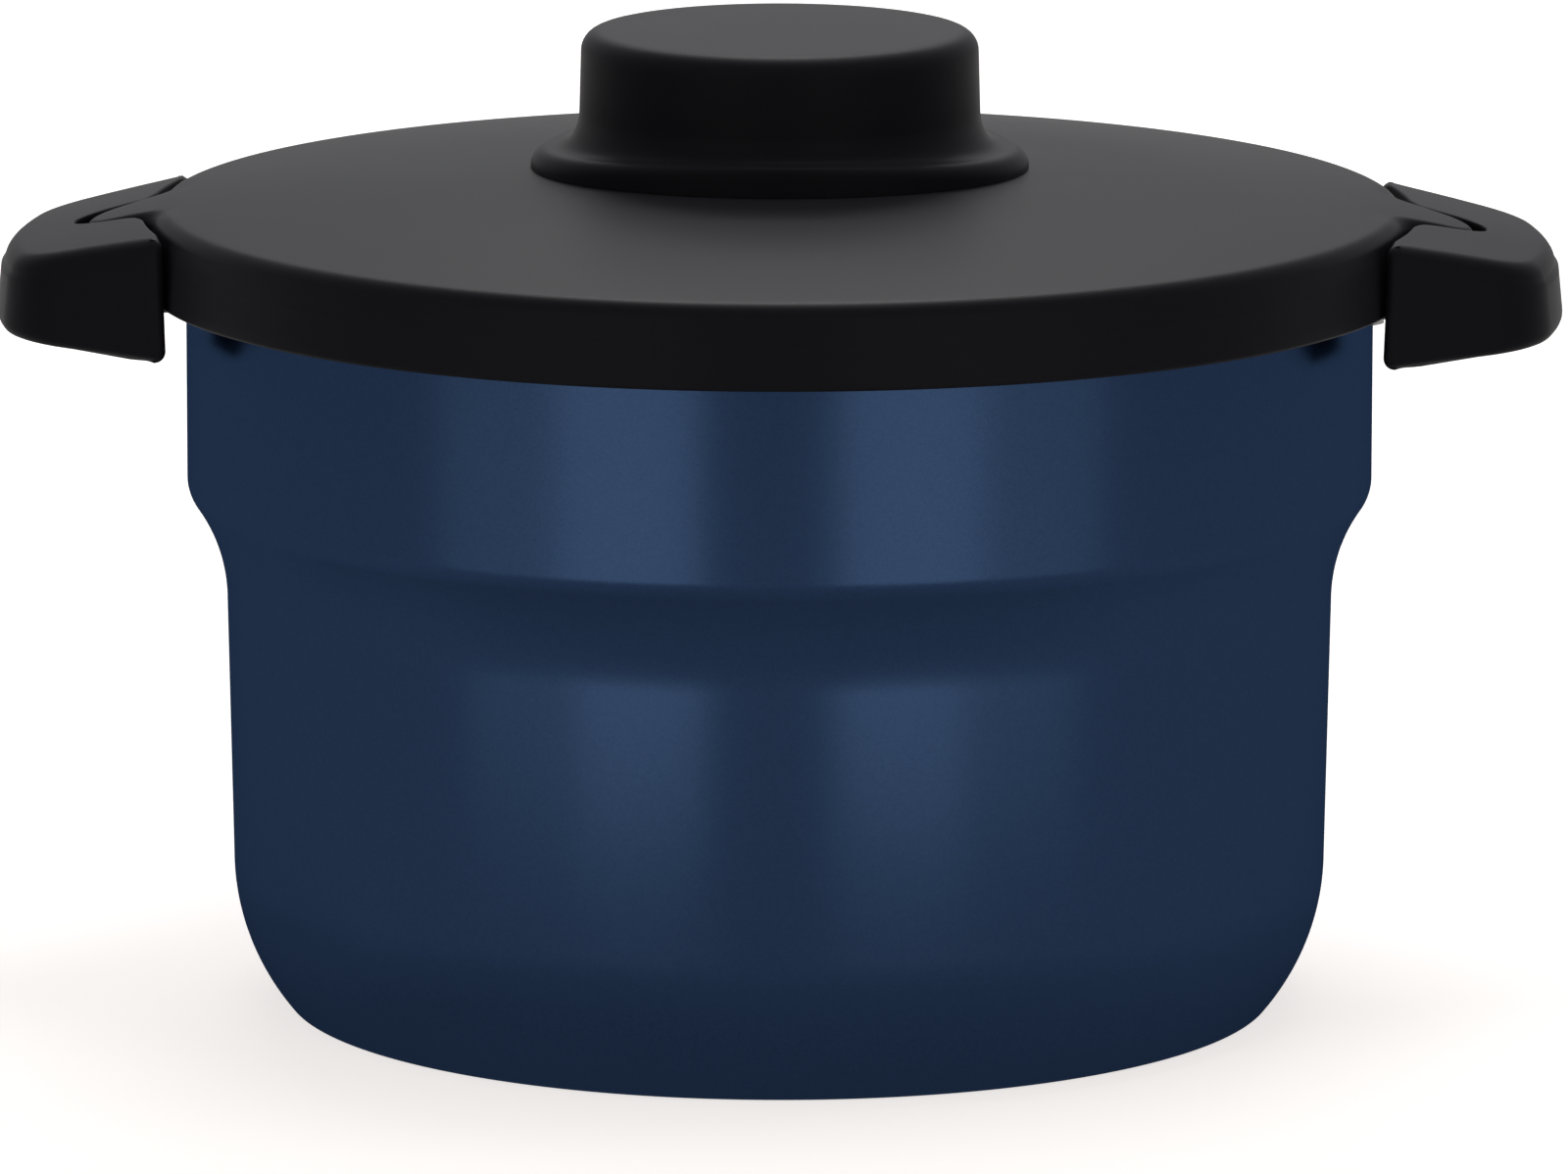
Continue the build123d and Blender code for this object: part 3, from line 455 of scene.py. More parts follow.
def screw_tree():
    """Sets one screw on every point of a mesh, head down, each turned its own way."""
    tree, given = started("Set screws", "Screws", Places="Geometry", Screw="Object", Finish="Material")
    screw = node(tree, "GeometryNodeObjectInfo", {"Object": given["Screw"]}, transform_space="ORIGINAL")
    points = node(tree, "GeometryNodeMeshToPoints", {"Mesh": given["Places"]})
    spin = node(tree, "FunctionNodeRandomValue", {2: 0.0, 3: pi / 2, "Seed": 4}, data_type="FLOAT")
    turned = node(tree, "ShaderNodeCombineXYZ", {"Z": spin.outputs[1]})
    set_down = {"Points": points, "Instance": screw.outputs["Geometry"], "Rotation": turned}
    return ended(tree, given, node(tree, "GeometryNodeInstanceOnPoints", set_down), "Screws")


def grown(name, seed_mesh, tree, inputs):
    """Runs a node tree over a seed mesh once and returns the plain result as an object."""
    seed = placed(name + "_seed", seed_mesh)
    modifier = seed.modifiers.new("Grow", "NODES")
    modifier.node_group = tree
    for item in tree.interface.items_tree:
        if item.in_out == "INPUT" and item.name in inputs:
            modifier[item.identifier] = inputs[item.name]
    graph = bpy.context.evaluated_depsgraph_get()
    mesh = bpy.data.meshes.new_from_object(seed.evaluated_get(graph))
    mesh.name = name
    seed.modifiers.remove(modifier)
    bpy.data.objects.remove(seed)
    return smooth_piece(name, mesh)


def line_mesh(name, points):
    """A closed loop of edges through flat points."""
    mesh = bpy.data.meshes.new(name)
    count = len(points)
    edges = [(index, (index + 1) % count) for index in range(count)]
    mesh.from_pydata([(x, y, 0.0) for x, y in points], edges, [])
    return mesh


# Finishes


def linear(colour):
    """Turns an sRGB hex colour into the linear numbers that a shader takes."""
    channels = []
    for place in (1, 3, 5):
        value = int(colour[place:place + 2], 16) / 255
        channels.append(value / 12.92 if value <= 0.04045 else ((value + 0.055) / 1.055) ** 2.4)
    return (*channels, 1.0)


class Finish:
    """A material of one shader, with patterns that lie in the piece's own coordinates in metres."""

    def __init__(self, name, colour, kind="Principled", **values):
        self.tree = cleared(bpy.data.materials.new(name))
        self.base = linear(colour)
        values = {key.replace("_", " "): value for key, value in values.items()}
        self.shader = node(self.tree, "ShaderNodeBsdf" + kind, values)
        node(self.tree, "ShaderNodeOutputMaterial", {"Surface": self.shader})
        self.place = node(self.tree, "ShaderNodeTexCoord").outputs["Object"]

    def noise(self, size, detail, **inputs):
        """Clouds with features of a real size."""
        return node(
            self.tree, "ShaderNodeTexNoise", {"Vector": self.place, "Scale": 1 / size, "Detail": detail, **inputs}
        )

    def cells(self, size, **settings):
        """Cells of a real size."""
        return node(self.tree, "ShaderNodeTexVoronoi", {"Vector": self.place, "Scale": 1 / size}, **settings)

    def tint(self, pattern, dark, light):
        """Lets a pattern vary the colour between two shares of it."""
        mixed = node(self.tree, "ShaderNodeMix", {"Factor": pattern}, data_type="RGBA")
        for place, share in ((6, dark), (7, light)):
            mixed.inputs[place].default_value = (*(channel * share for channel in self.base[:3]), 1.0)
        self.tree.links.new(mixed.outputs[2], self.shader.inputs[0])

    def rough(self, pattern, low, high):
        """Lets a pattern vary the roughness."""
        ranged = node(self.tree, "ShaderNodeMapRange", {"Value": pattern, "To Min": low, "To Max": high})
        self.tree.links.new(ranged.outputs["Result"], self.shader.inputs["Roughness"])

    def relief(self, pattern, depth):
        """Gives the surface a relief of a real depth."""
        bump = node(self.tree, "ShaderNodeBump", {"Height": pattern, "Strength": 1.0, "Distance": depth})
        self.tree.links.new(bump.outputs["Normal"], self.shader.inputs["Normal"])

    def rings(self, across, along):
        """Coordinates in which a pattern runs in rings round the upright axis."""
        flat = node(self.tree, "ShaderNodeVectorMath", {0: self.place, 1: (1.0, 1.0, 0.0)}, operation="MULTIPLY")
        radius = node(self.tree, "ShaderNodeVectorMath", {0: flat}, operation="LENGTH").outputs["Value"]
        parts = node(self.tree, "ShaderNodeSeparateXYZ", {"Vector": self.place}).outputs
        around = node(self.tree, "ShaderNodeMath", {0: parts["Y"], 1: parts["X"]}, operation="ARCTAN2")
        rings = node(self.tree, "ShaderNodeCombineXYZ", {"X": radius, "Y": around, "Z": parts["Z"]})
        scale = (1 / across, along, 1 / across)
        return node(self.tree, "ShaderNodeVectorMath", {0: rings, 1: scale}, operation="MULTIPLY").outputs["Vector"]


def navy_pearl_paint(colour):
    """Stoved pearl paint on drawn steel.

    Mica flakes tint the shine blue, as even at the sides as in the middle, and the film has a faint orange peel.
    """
    paint = Finish("navy_pearl_paint", colour, "Anisotropic")
    # Real flakes are under 0.05 mm. They are drawn at 0.3 mm, so that they show.
    flakes = paint.cells(0.3 * MM).outputs["Color"]
    paint.tint(node(paint.tree, "ShaderNodeSeparateColor", {"Color": flakes}), 0.93, 1.07)
    paint.rough(paint.noise(40 * MM, 1.0), 0.22, 0.27)
    paint.relief(paint.noise(3.0 * MM, 2.0), 0.004 * MM)


def coated_steel():
    """Pressed steel with a black baked coat: nearly even, with a low shine and a faint orange peel."""
    coat = Finish("black_coated_steel", "#101012", Roughness=0.45, Specular_IOR_Level=0.15)
    cloud = coat.noise(6 * MM, 2.0)
    coat.tint(cloud, 0.9, 1.1)
    coat.relief(cloud, 0.01 * MM)


def moulded_plastic(name, colour):
    """Moulded polypropylene from a spark-eroded tool: a fine even grain that spreads the shine."""
    plastic = Finish(name, colour, Roughness=0.48, IOR=1.49, Specular_IOR_Level=0.022)
    flow = plastic.noise(55 * MM, 2.0)
    plastic.tint(flow, 0.94, 1.06)
    plastic.rough(flow, 0.45, 0.51)
    plastic.relief(plastic.noise(0.45 * MM, 3.0, Roughness=0.6), 0.012 * MM)


def brushed_steel(colour):
    """Stainless steel spun and brushed in the round: hair lines that pull the shine into bands."""
    steel = Finish("brushed_stainless_steel", colour, Metallic=1.0, Roughness=0.3)
    # Real hair lines are about 0.05 mm apart. They are drawn at 0.4 mm, so that they show.
    lines = steel.noise(1.0, 3.0, Vector=steel.rings(0.4 * MM, 3.0), Roughness=0.6)
    steel.tint(lines, 0.86, 1.04)
    steel.rough(lines, 0.22, 0.38)
    steel.relief(lines, 0.008 * MM)


def rolled_metal(name, colour, rough, patch, crease=0.0):
    """Rolled or plated sheet metal: a dull, slightly cloudy shine, and creases where it is foil."""
    metal = Finish(name, colour, Metallic=1.0, Roughness=rough)
    cloud = metal.noise(patch, 4.0)
    metal.tint(cloud, 0.85, 1.05)
    metal.rough(cloud, rough - 0.07, rough + 0.07)
    if crease:
        metal.relief(metal.cells(patch, feature="DISTANCE_TO_EDGE"), crease)


def phenolic():
    """Compression-moulded phenolic resin: near black with a low shine and a faint flow pattern."""
    resin = Finish("moulded_phenolic", "#151413", Roughness=0.34, IOR=1.6)
    flow = resin.noise(12 * MM, 4.0, Distortion=1.5)
    resin.tint(flow, 0.8, 1.3)
    resin.rough(flow, 0.3, 0.4)


def tempered_glass():
    """Tempered soda-lime glass: clear, with a faint green body and very slight roller waves."""
    glass = Finish("tempered_glass", "#F1F7F4", Roughness=0.02, IOR=1.52, Transmission_Weight=1.0)
    waves = glass.noise(35 * MM, 0.0)
    glass.tint(waves, 0.97, 1.0)
    glass.relief(waves, 0.03 * MM)


def silicone_rubber():
    """Moulded silicone rubber: soft milky grey with a dull skin."""
    depth = (1 * MM, 1 * MM, 1 * MM)
    rubber = Finish(
        "moulded_silicone", "#A9ABAB", Roughness=0.55, IOR=1.41, Subsurface_Weight=0.15, Subsurface_Radius=depth
    )
    dust = rubber.noise(2 * MM, 3.0)
    rubber.tint(dust, 0.92, 1.05)
    rubber.rough(dust, 0.5, 0.62)


def poured_foam():
    """Poured polyurethane foam: cream, dull, with open cells on its skin."""
    foam = Finish("poured_polyurethane_foam", "#E3D9B8", Roughness=0.9)
    cells = foam.cells(1.4 * MM)
    foam.tint(cells, 1.0, 0.8)
    foam.relief(cells, 0.4 * MM)


def make_finishes(colours):
    """Makes every finish of the cooker."""
    navy_pearl_paint(colours.paint)
    moulded_plastic("black_polypropylene", colours.plastic)
    moulded_plastic("grey_polypropylene", colours.inner_plastic)
    brushed_steel(colours.steel)
    coated_steel()
    rolled_metal("zinc_plated_steel", "#A7ABB0", 0.38, 5 * MM)
    rolled_metal("clad_aluminium", "#B5B6B8", 0.42, 3 * MM)
    rolled_metal("crumpled_aluminium_foil", "#D0D2D4", 0.22, 11 * MM, 0.3 * MM)
    rolled_metal("sintered_getter_metal", "#6C6964", 0.6, 1.5 * MM)
    phenolic()
    tempered_glass()
    silicone_rubber()
    poured_foam()


def finish_named(name):
    """A finish that the first operator has made."""
    material = bpy.data.materials.get(name)
    if material is None:
        raise RuntimeError("the finishes have to be made first: " + name)
    return material


# What the construction's own pieces are made of
CONSTRUCTION_FINISHES = {
    "brushed_stainless_steel": (
        "inner_shell", "bottom_plate", "pot", "pot_strap_right", "pot_strap_left", "pot_lid_rim", "pot_lid_eyelet",
    ),
    "zinc_plated_steel": ("vacuum_seal_cap", "pot_lid_screw"),
    "sintered_getter_metal": ("getter",),
    "crumpled_aluminium_foil": ("reflector_foil",),
    "black_polypropylene": ("mouth_collar",),
    "clad_aluminium": ("pot_base_disc",),
    "moulded_phenolic": ("pot_grip_right", "pot_grip_left", "pot_lid_knob"),
    "tempered_glass": ("pot_lid_glass",),
    "moulded_silicone": ("pot_lid_washer", "lid_seal"),
    "grey_polypropylene": ("lid_inner_plate",),
    "poured_polyurethane_foam": ("lid_insulation",),
}


class COOKER_OT_finishes(Operator):
    """Makes the finishes and gives them to the construction's own pieces"""

    bl_idname = "cooker.finishes"
    bl_label = "Make finishes"

    def execute(self, context):
        make_finishes(context.scene.cooker_colours)
        for material, names in CONSTRUCTION_FINISHES.items():
            for name in names:
                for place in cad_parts[name].material_slots:
                    place.material = finish_named(material)
        return {"FINISHED"}


# Vessel


def shell_profile(sizes):
    """The shell's closed section as (radius, height), up the outside and down the inside."""
    mouth_radius = liner_high.x + SET_GAP

    def side(inset):
        """One face of the sheet, from the floor up to the mouth."""
        upper = shell_high.x + sizes.paint_gain - inset
        waist = upper - sizes.step_depth
        across, drop = sizes.base_inset, sizes.foot_height
        foot_arc = (across * across + drop * drop) / (2 * across) - inset
        centre = waist - sizes.foot_taper - foot_arc
        edge = sizes.base_round - inset
        fall = drop - inset - edge
        edge_centre = centre + sqrt((foot_arc - edge) ** 2 - fall ** 2)
        turn = -asin(fall / (foot_arc - edge))
        low, high = (waist, sizes.waist_top), (upper, sizes.step_top)
        meet = [above + (below - above) * STEP_SPLIT for below, above in zip(low, high)]
        points = [
            *arc((edge_centre, inset + edge), edge, -pi / 2, turn),
            *arc((centre, drop), foot_arc, turn, 0.0, 3 * FINE_ARC)[1:],
            *swing(low, meet, 2 * FINE_ARC),
            *reversed(swing(high, meet, 2 * FINE_ARC)[:-1]),
            *swing((upper, sizes.shoulder), (upper - sizes.shoulder_inset, shell_high.z - inset)),
        ]
        return [point for point in points if point[0] > mouth_radius or point[1] < sizes.shoulder]

    outside, inside = side(0.0), side(sizes.wall)
    return [
        (sizes.rest_ring, 0.0),
        *outside,
        (mouth_radius, outside[-1][1]),
        (mouth_radius, inside[-1][1]),
        *reversed(inside),
        (sizes.rest_ring, sizes.wall),
    ]


class COOKER_OT_vessel(Operator):
    """Turns the painted shell of the vessel"""

    bl_idname = "cooker.vessel"
    bl_label = "Make vessel shell"

    def execute(self, context):
        sizes = context.scene.cooker_vessel
        turning = shell_high.x + sizes.paint_gain
        # The lathe looks down its path, so a profile that goes up inside and down outside faces out
        drawn = [(radius - turning, -height) for radius, height in reversed(shell_profile(sizes))]
        inputs = {
            "Turning radius": turning, "Segments": LATHE_SEGMENTS, "Finish": finish_named("navy_pearl_paint"),
        }
        shell = grown("vessel_shell", line_mesh("shell_profile", drawn), lathe_tree(), inputs)
        joined(shell, "vessel", "navy_paint", "outer_shell")
        return {"FINISHED"}


# Outer lid


class LidShape:
    """The lid's outline seen from above and its height at every place."""

    def __init__(self, sizes):
        self.sizes = sizes
        self.skirt = lid_high.y + SKIRT_GAIN
        self.rim = self.skirt - sizes.skirt_draft
        self.crown = lid_high.z
        self.rim_height = self.crown - sizes.dome_rise
        self.foot = lid_low.z - sizes.foot_drop
        self.dome = (self.rim ** 2 + sizes.dome_rise ** 2) / (2 * sizes.dome_rise)
        self.tip = lid_high.x
        tip_top = self.rim_height - sizes.ear_drop
        self.tip_fall = self.dome_height(self.tip) - tip_top
        self.ear_under = tip_top - sizes.ear_depth
        self.start = self.skirt - sizes.ear_start
        self.nose_centre = self.tip - sizes.ear_nose
        across = heading_of(sizes.ear_turn)
        leave = Vector(on_circle((self.nose_centre, 0.0), sizes.ear_nose, sizes.ear_turn))
        reach = Vector((self.start, sizes.ear_root)) - leave
        self.flank_radius = reach.length_squared / (2 * reach.dot(across))
        self.flank_centre = leave + across * self.flank_radius
        self.leave_angle = atan2(leave.y, leave.x)

    def dome_height(self, radius):
        """Height of the dome's sphere at a radius."""
        return self.crown - self.dome + sqrt(self.dome ** 2 - radius ** 2)

    def ear_edge(self, turn):
        """Distance of the bare ear's edge from the axis, in a direction off its middle."""
        if turn <= self.leave_angle:
            off_line = self.nose_centre * sin(turn)
            return self.nose_centre * cos(turn) + sqrt(self.sizes.ear_nose ** 2 - off_line ** 2)
        away = self.flank_centre.length
        off = atan2(self.flank_centre.y, self.flank_centre.x) - turn
        return away * cos(off) - sqrt(max(self.flank_radius ** 2 - (away * sin(off)) ** 2, 0.0))

    def off_middle(self, turn):
        """Angle between a direction and the nearer ear's middle."""
        return atan2(abs(sin(turn)), abs(cos(turn)))

    def edge(self, turn):
        """Distance of the lid's edge from the axis, ears and their blends included."""
        off = self.off_middle(turn)
        if off > EAR_REACH:
            return self.rim
        return smooth_max(self.rim, self.ear_edge(off), self.sizes.ear_blend)

    def edge_point(self, turn):
        """The edge's place and its outward direction, seen from above."""
        back, place, ahead = (
            self.edge(turn + side) * heading_of(turn + side) for side in (-EDGE_STEP, 0.0, EDGE_STEP)
        )
        along = (ahead - back).normalized()
        return place, Vector((along.y, -along.x))

    def top(self, place):
        """Height of the lid's upper face at a place seen from above."""
        radius = place.length
        near = 1 - smooth_step(*EAR_FADE, self.off_middle(atan2(place.y, place.x)))
        past = max(radius - self.start, 0.0) / (self.tip - self.start)
        return self.dome_height(radius) - near * self.tip_fall * past ** EAR_FALL_POWER

    def skirt_radius(self, height):
        """Radius of the drafted skirt at a height."""
        share = (self.rim_height - height) / (self.rim_height - self.foot)
        return self.rim + share * self.sizes.skirt_draft

    def turns(self):
        """Directions round the lid, closest together at the ears."""
        quarter = [EAR_STEP * index for index in range(1, EAR_STEPS)]
        quarter += spaced(quarter[-1], pi / 2, OPEN_STEPS)[1:-1]
        half = [0.0, *quarter, pi / 2, *(pi - turn for turn in reversed(quarter)), pi]
        return half + [2 * pi - turn for turn in reversed(half[1:-1])]


def lid_column(shape, turn):
    """Points of the lid from its crown over its edge, down the skirt and back up inside."""
    sizes = shape.sizes
    edge, out = shape.edge_point(turn)
    heading = heading_of(turn)
    grows = edge.length - shape.rim
    round_edge = sizes.rim_round + (sizes.ear_round - sizes.rim_round) * smooth_step(0.0, ROUND_FADE, grows)
    column = []

    def put(place, height):
        column.append((place.x, place.y, height))

    # The dome, and the round at its edge
    ring_end = heading * (shape.start - DOME_MARGIN)
    begin = edge - out * round_edge
    rings = [ring_end * index / DOME_RINGS for index in range(DOME_RINGS + 1)]
    for place in rings + [ring_end.lerp(begin, share) for share in shares(8)]:
        put(place, shape.top(place))
    for lean in leans(FINE_ARC):
        place = begin + out * round_edge * sin(lean)
        put(place, shape.top(place) - round_edge * (1 - cos(lean)))
    # The edge's side and the ear's underside, back to the skirt
    for height in spaced(column[-1][2], shape.ear_under + EAR_UNDER_ROUND, 3)[1:]:
        put(edge + out * (shape.skirt_radius(height) - shape.rim), height)
    side = edge + out * (shape.skirt_radius(shape.ear_under) - shape.rim)
    tuck = min(EAR_UNDER_ROUND, max(grows, 0.0))
    for lean in leans(4):
        put(side - out * tuck * (1 - cos(lean)), shape.ear_under + EAR_UNDER_ROUND * (1 - sin(lean)))
    skirt_here = heading * shape.skirt_radius(shape.ear_under)
    for share in shares(3):
        put((side - out * tuck).lerp(skirt_here, share), shape.ear_under)
    # The skirt and its lower edge
    foot_edge = shape.foot + sizes.foot_round
    for height in spaced(shape.ear_under, foot_edge, 4)[1:]:
        put(heading * shape.skirt_radius(height), height)
    for lean in leans(5):
        radius = shape.skirt_radius(foot_edge) - sizes.foot_round * (1 - cos(lean))
        put(heading * radius, foot_edge - sizes.foot_round * sin(lean))
    # The inner face
    put(heading * (shape.skirt_radius(shape.foot) - sizes.wall), shape.foot)
    turn_in = sizes.rim_round - sizes.wall
    inner_rim = shape.rim - sizes.wall
    ceiling = shape.dome_height(inner_rim - turn_in) - sizes.wall
    for lean in (0.0, *leans(5)):
        put(heading * (inner_rim - turn_in * (1 - cos(lean))), ceiling - turn_in * (1 - sin(lean)))
    for radius in spaced(inner_rim - turn_in, 0.0, 12)[1:]:
        put(heading * radius, shape.dome_height(radius) - sizes.wall)
    return column


class COOKER_OT_lid(Operator):
    """Moulds the outer lid with its dome, skirt and two ears"""

    bl_idname = "cooker.lid"
    bl_label = "Make outer lid"

    def execute(self, context):
        shape = LidShape(context.scene.cooker_lid)
        columns = [lid_column(shape, turn) for turn in shape.turns()]
        solid = bmesh.new()
        weld_grid(solid, list(zip(*columns)))
        finished("outer_lid", solid, "black_polypropylene", "lid", "black_plastic", "lid_cover")
        return {"FINISHED"}


# Knob


def knob_column(sizes, shape, turn):
    """Points of the knob from its top, down the drum and over the plinth to the dome."""
    heading = heading_of(turn)
    oval = knob_high.x * knob_high.y / hypot(knob_high.y * cos(turn), knob_high.x * sin(turn))
    flare_radius = sizes.top_radius + sizes.draft + sizes.flare
    flare_high = shape.dome_height(flare_radius) + FLARE_LIFT + sizes.flare
    column = []

    def put(radius, height):
        column.append((heading.x * radius, heading.y * radius, height))

    # The drum
    flat = sizes.top_radius - sizes.top_round
    for radius in spaced(0.0, flat, 12):
        put(radius, knob_high.z - sizes.crown * (radius / sizes.top_radius) ** 2)
    flat_height = column[-1][2]
    for lean in leans(FINE_ARC):
        put(flat + sizes.top_round * sin(lean), flat_height - sizes.top_round * (1 - cos(lean)))
    wall_top = column[-1][2]
    for share in shares(6)[:-1]:
        put(sizes.top_radius + sizes.draft * share, wall_top + (flare_high - wall_top) * share)
    # The flare, and the plinth that it runs into
    edge_round = sizes.plinth_round + (sizes.plinth_end_round - sizes.plinth_round) * heading.x ** 2
    edge = oval - edge_round
    reach = pi / 2 - asin(min((flare_radius - edge) / sizes.flare, 1.0))
    for lean in spaced(0.0, reach, 24):
        radius = flare_radius - sizes.flare * cos(lean)
        fall = sizes.plinth_fall * (heading.x * radius / knob_high.x) ** 2
        plinth = shape.crown + sizes.plinth_height - fall
        put(radius, smooth_max(flare_high - sizes.flare * sin(lean), plinth, sizes.plinth_blend))
    height = column[-1][2]
    for lean in leans(7):
        put(edge + edge_round * sin(lean), height - edge_round * (1 - cos(lean)))
    for height in spaced(column[-1][2], shape.dome_height(oval) + SET_GAP, 3)[1:]:
        put(oval, height)
    # The underside
    for radius in spaced(oval, 0.0, 8)[1:]:
        put(radius, shape.dome_height(radius) + SET_GAP)
    return column


class COOKER_OT_knob(Operator):
    """Moulds the knob: a drum that flares into an oval plinth"""

    bl_idname = "cooker.knob"
    bl_label = "Make knob"

    def execute(self, context):
        shape = LidShape(context.scene.cooker_lid)
        turns = spaced(0.0, 2 * pi, LATHE_SEGMENTS)[:-1]
        columns = [knob_column(context.scene.cooker_knob, shape, turn) for turn in turns]
        solid = bmesh.new()
        weld_grid(solid, list(zip(*columns)))
        finished("knob", solid, "black_polypropylene", "lid", "black_plastic", "lid_knob")
        return {"FINISHED"}


# Handles


def with_mirror(points):
    """Half an outline that ends on the middle line, and its mirrored other half."""
    return points + [Vector((point.x, -point.y)) for point in reversed(points[:-1])]


class HandleShape:
    """The right handle's outline seen from above, from its corner round the tip and back along the lid."""

    def __init__(self, sizes, lid):
        self.sizes = sizes
        self.lid = lid
        self.inner = lid.rim + sizes.skirt_gap
        self.bottom = handle_low.z + sizes.bottom_lift
        # The lower edge rises towards the tip, so the widest place lies a little up the drafted wall
        self.base_tip = cad_high.x - TIP_MARGIN + (sizes.bottom_rise + sizes.bottom_round) * tan(sizes.draft)
        self.root = sqrt(self.inner ** 2 - sizes.root_half ** 2)
        self.end_radius = (sizes.tip_half ** 2 + sizes.tip_bulge ** 2) / (2 * sizes.tip_bulge)
        self.end_centre = (self.base_tip - self.end_radius, 0.0)
        self.flank_start = Vector((self.root, -sizes.root_half))
        flank_end = Vector((self.base_tip - sizes.tip_bulge, -sizes.tip_half))
        self.flank_way = (flank_end - self.flank_start).normalized()
        self.flank_out = Vector((self.flank_way.y, -self.flank_way.x))
        # The outer corner's arc touches the flank and the end
        end_middle = Vector(self.end_centre)
        offset = self.flank_start - self.flank_out * sizes.corner - end_middle
        run = self.run_to_circle(offset, self.end_radius - sizes.corner)
        self.corner_centre = end_middle + offset + self.flank_way * run

    def run_to_circle(self, start, radius):
        """How far a line from start runs along the flank until it meets a circle round the origin."""
        along = start.dot(self.flank_way)
        return -along + sqrt(along ** 2 - start.length_squared + radius ** 2)

    def root_bend(self, outer, inner, end):
        """Half of the soft root corner, from its middle to its end: beside the lid at 0, on the flank at 1."""
        offset = self.flank_start - self.flank_out * outer
        corner = offset + self.flank_way * self.run_to_circle(offset, self.inner + inner)
        near = corner + Vector((-corner.y, corner.x)).normalized() * self.sizes.root_corner
        far = corner + self.flank_way * self.sizes.root_corner
        if end == 0:
            near = near.normalized() * (self.inner + inner)
        points = []
        for share in spaced(0.5, end, ROOT_STEPS):
            points.append(near * (1 - share) ** 2 + corner * 2 * share * (1 - share) + far * share ** 2)
        return points

    def outer_half(self, outer, inner):
        """Points from the middle of the front root corner round the tip to the rear one."""
        points = self.root_bend(outer, inner, 1)
        far = points[-1]
        radius = self.sizes.corner - outer
        begin = self.corner_centre + self.flank_out * radius
        points += [far.lerp(begin, share) for share in shares(FLANK_STEPS)]
        start = atan2(self.flank_out.y, self.flank_out.x)
        away = self.corner_centre - Vector(self.end_centre)
        end = atan2(away.y, away.x)
        points += [self.corner_centre + radius * heading_of(turn) for turn in spaced(start, end, CORNER_STEPS)[1:]]
        points += [Vector(point) for point in arc(self.end_centre, self.end_radius - outer, end, 0.0, END_STEPS)[1:]]
        return with_mirror(points)

    def inner_half(self, outer, inner, pocket, count):
        """Points from the middle of the front root corner past the ear's pocket to the rear one."""
        points = self.root_bend(outer, inner, 0)
        notch = asin((bracket_high.y + NOTCH_SIDE_GAP) / self.inner)
        turns = spaced(atan2(points[-1].y, points[-1].x), -notch - NOTCH_STEP, SIDE_STEPS)[1:]
        turns += spaced(-notch + NOTCH_STEP, -POCKET_REACH, NOTCH_STEPS)
        turns += spaced(-POCKET_REACH, 0.0, count - len(points) - len(turns))[1:]
        return with_mirror(points + [self.inner_point(turn, inner, pocket) for turn in turns])

    def inner_point(self, turn, inner, pocket):
        """A point beside the lid, past its ear where the pocket is."""
        if not pocket:
            return (self.inner + inner) * heading_of(turn)
        edge, out = self.lid.edge_point(turn)
        sizes = self.sizes
        grows = smooth_step(0.0, POCKET_FADE, edge.length - self.lid.rim)
        tip = 1 - smooth_step(*POCKET_TIP, abs(turn))
        gap = sizes.skirt_gap + (sizes.ear_gap - sizes.skirt_gap) * grows + (sizes.tip_gap - sizes.ear_gap) * tip
        return edge + out * (gap + inner)

    def outline(self, outer, inner, pocket):
        """The whole loop, drawn in by outer and out from the lid by inner, with or without the pocket."""
        around = self.outer_half(outer, inner)
        beside = self.inner_half(outer, inner, pocket, (len(around) + 1) // 2)
        return around + beside[-2:0:-1]

    def share_out(self, x):
        """How far a place lies from the root towards the tip, as a share."""
        return (x - self.root) / (self.base_tip - self.root)

    def top(self, place):
        """Height of the handle's top, which bows up both ways and falls towards the tip."""
        sizes = self.sizes
        share = self.share_out(place.x)
        bow = sizes.top_sag * (1 - (2 * share - 1) ** 2) + sizes.crown * (1 - (place.y / sizes.root_half) ** 2)
        return sizes.top - sizes.top_fall * share + bow

    def under(self, x):
        """Height of the handle's lower edge."""
        return self.bottom + self.sizes.bottom_rise * self.share_out(x)


def outward(points):
    """Outward directions of a closed loop that runs anticlockwise seen from above."""
    ways = []
    for index in range(len(points)):
        along = points[(index + 1) % len(points)] - points[index - 1]
        ways.append(Vector((along.y, -along.x)).normalized())
    return ways


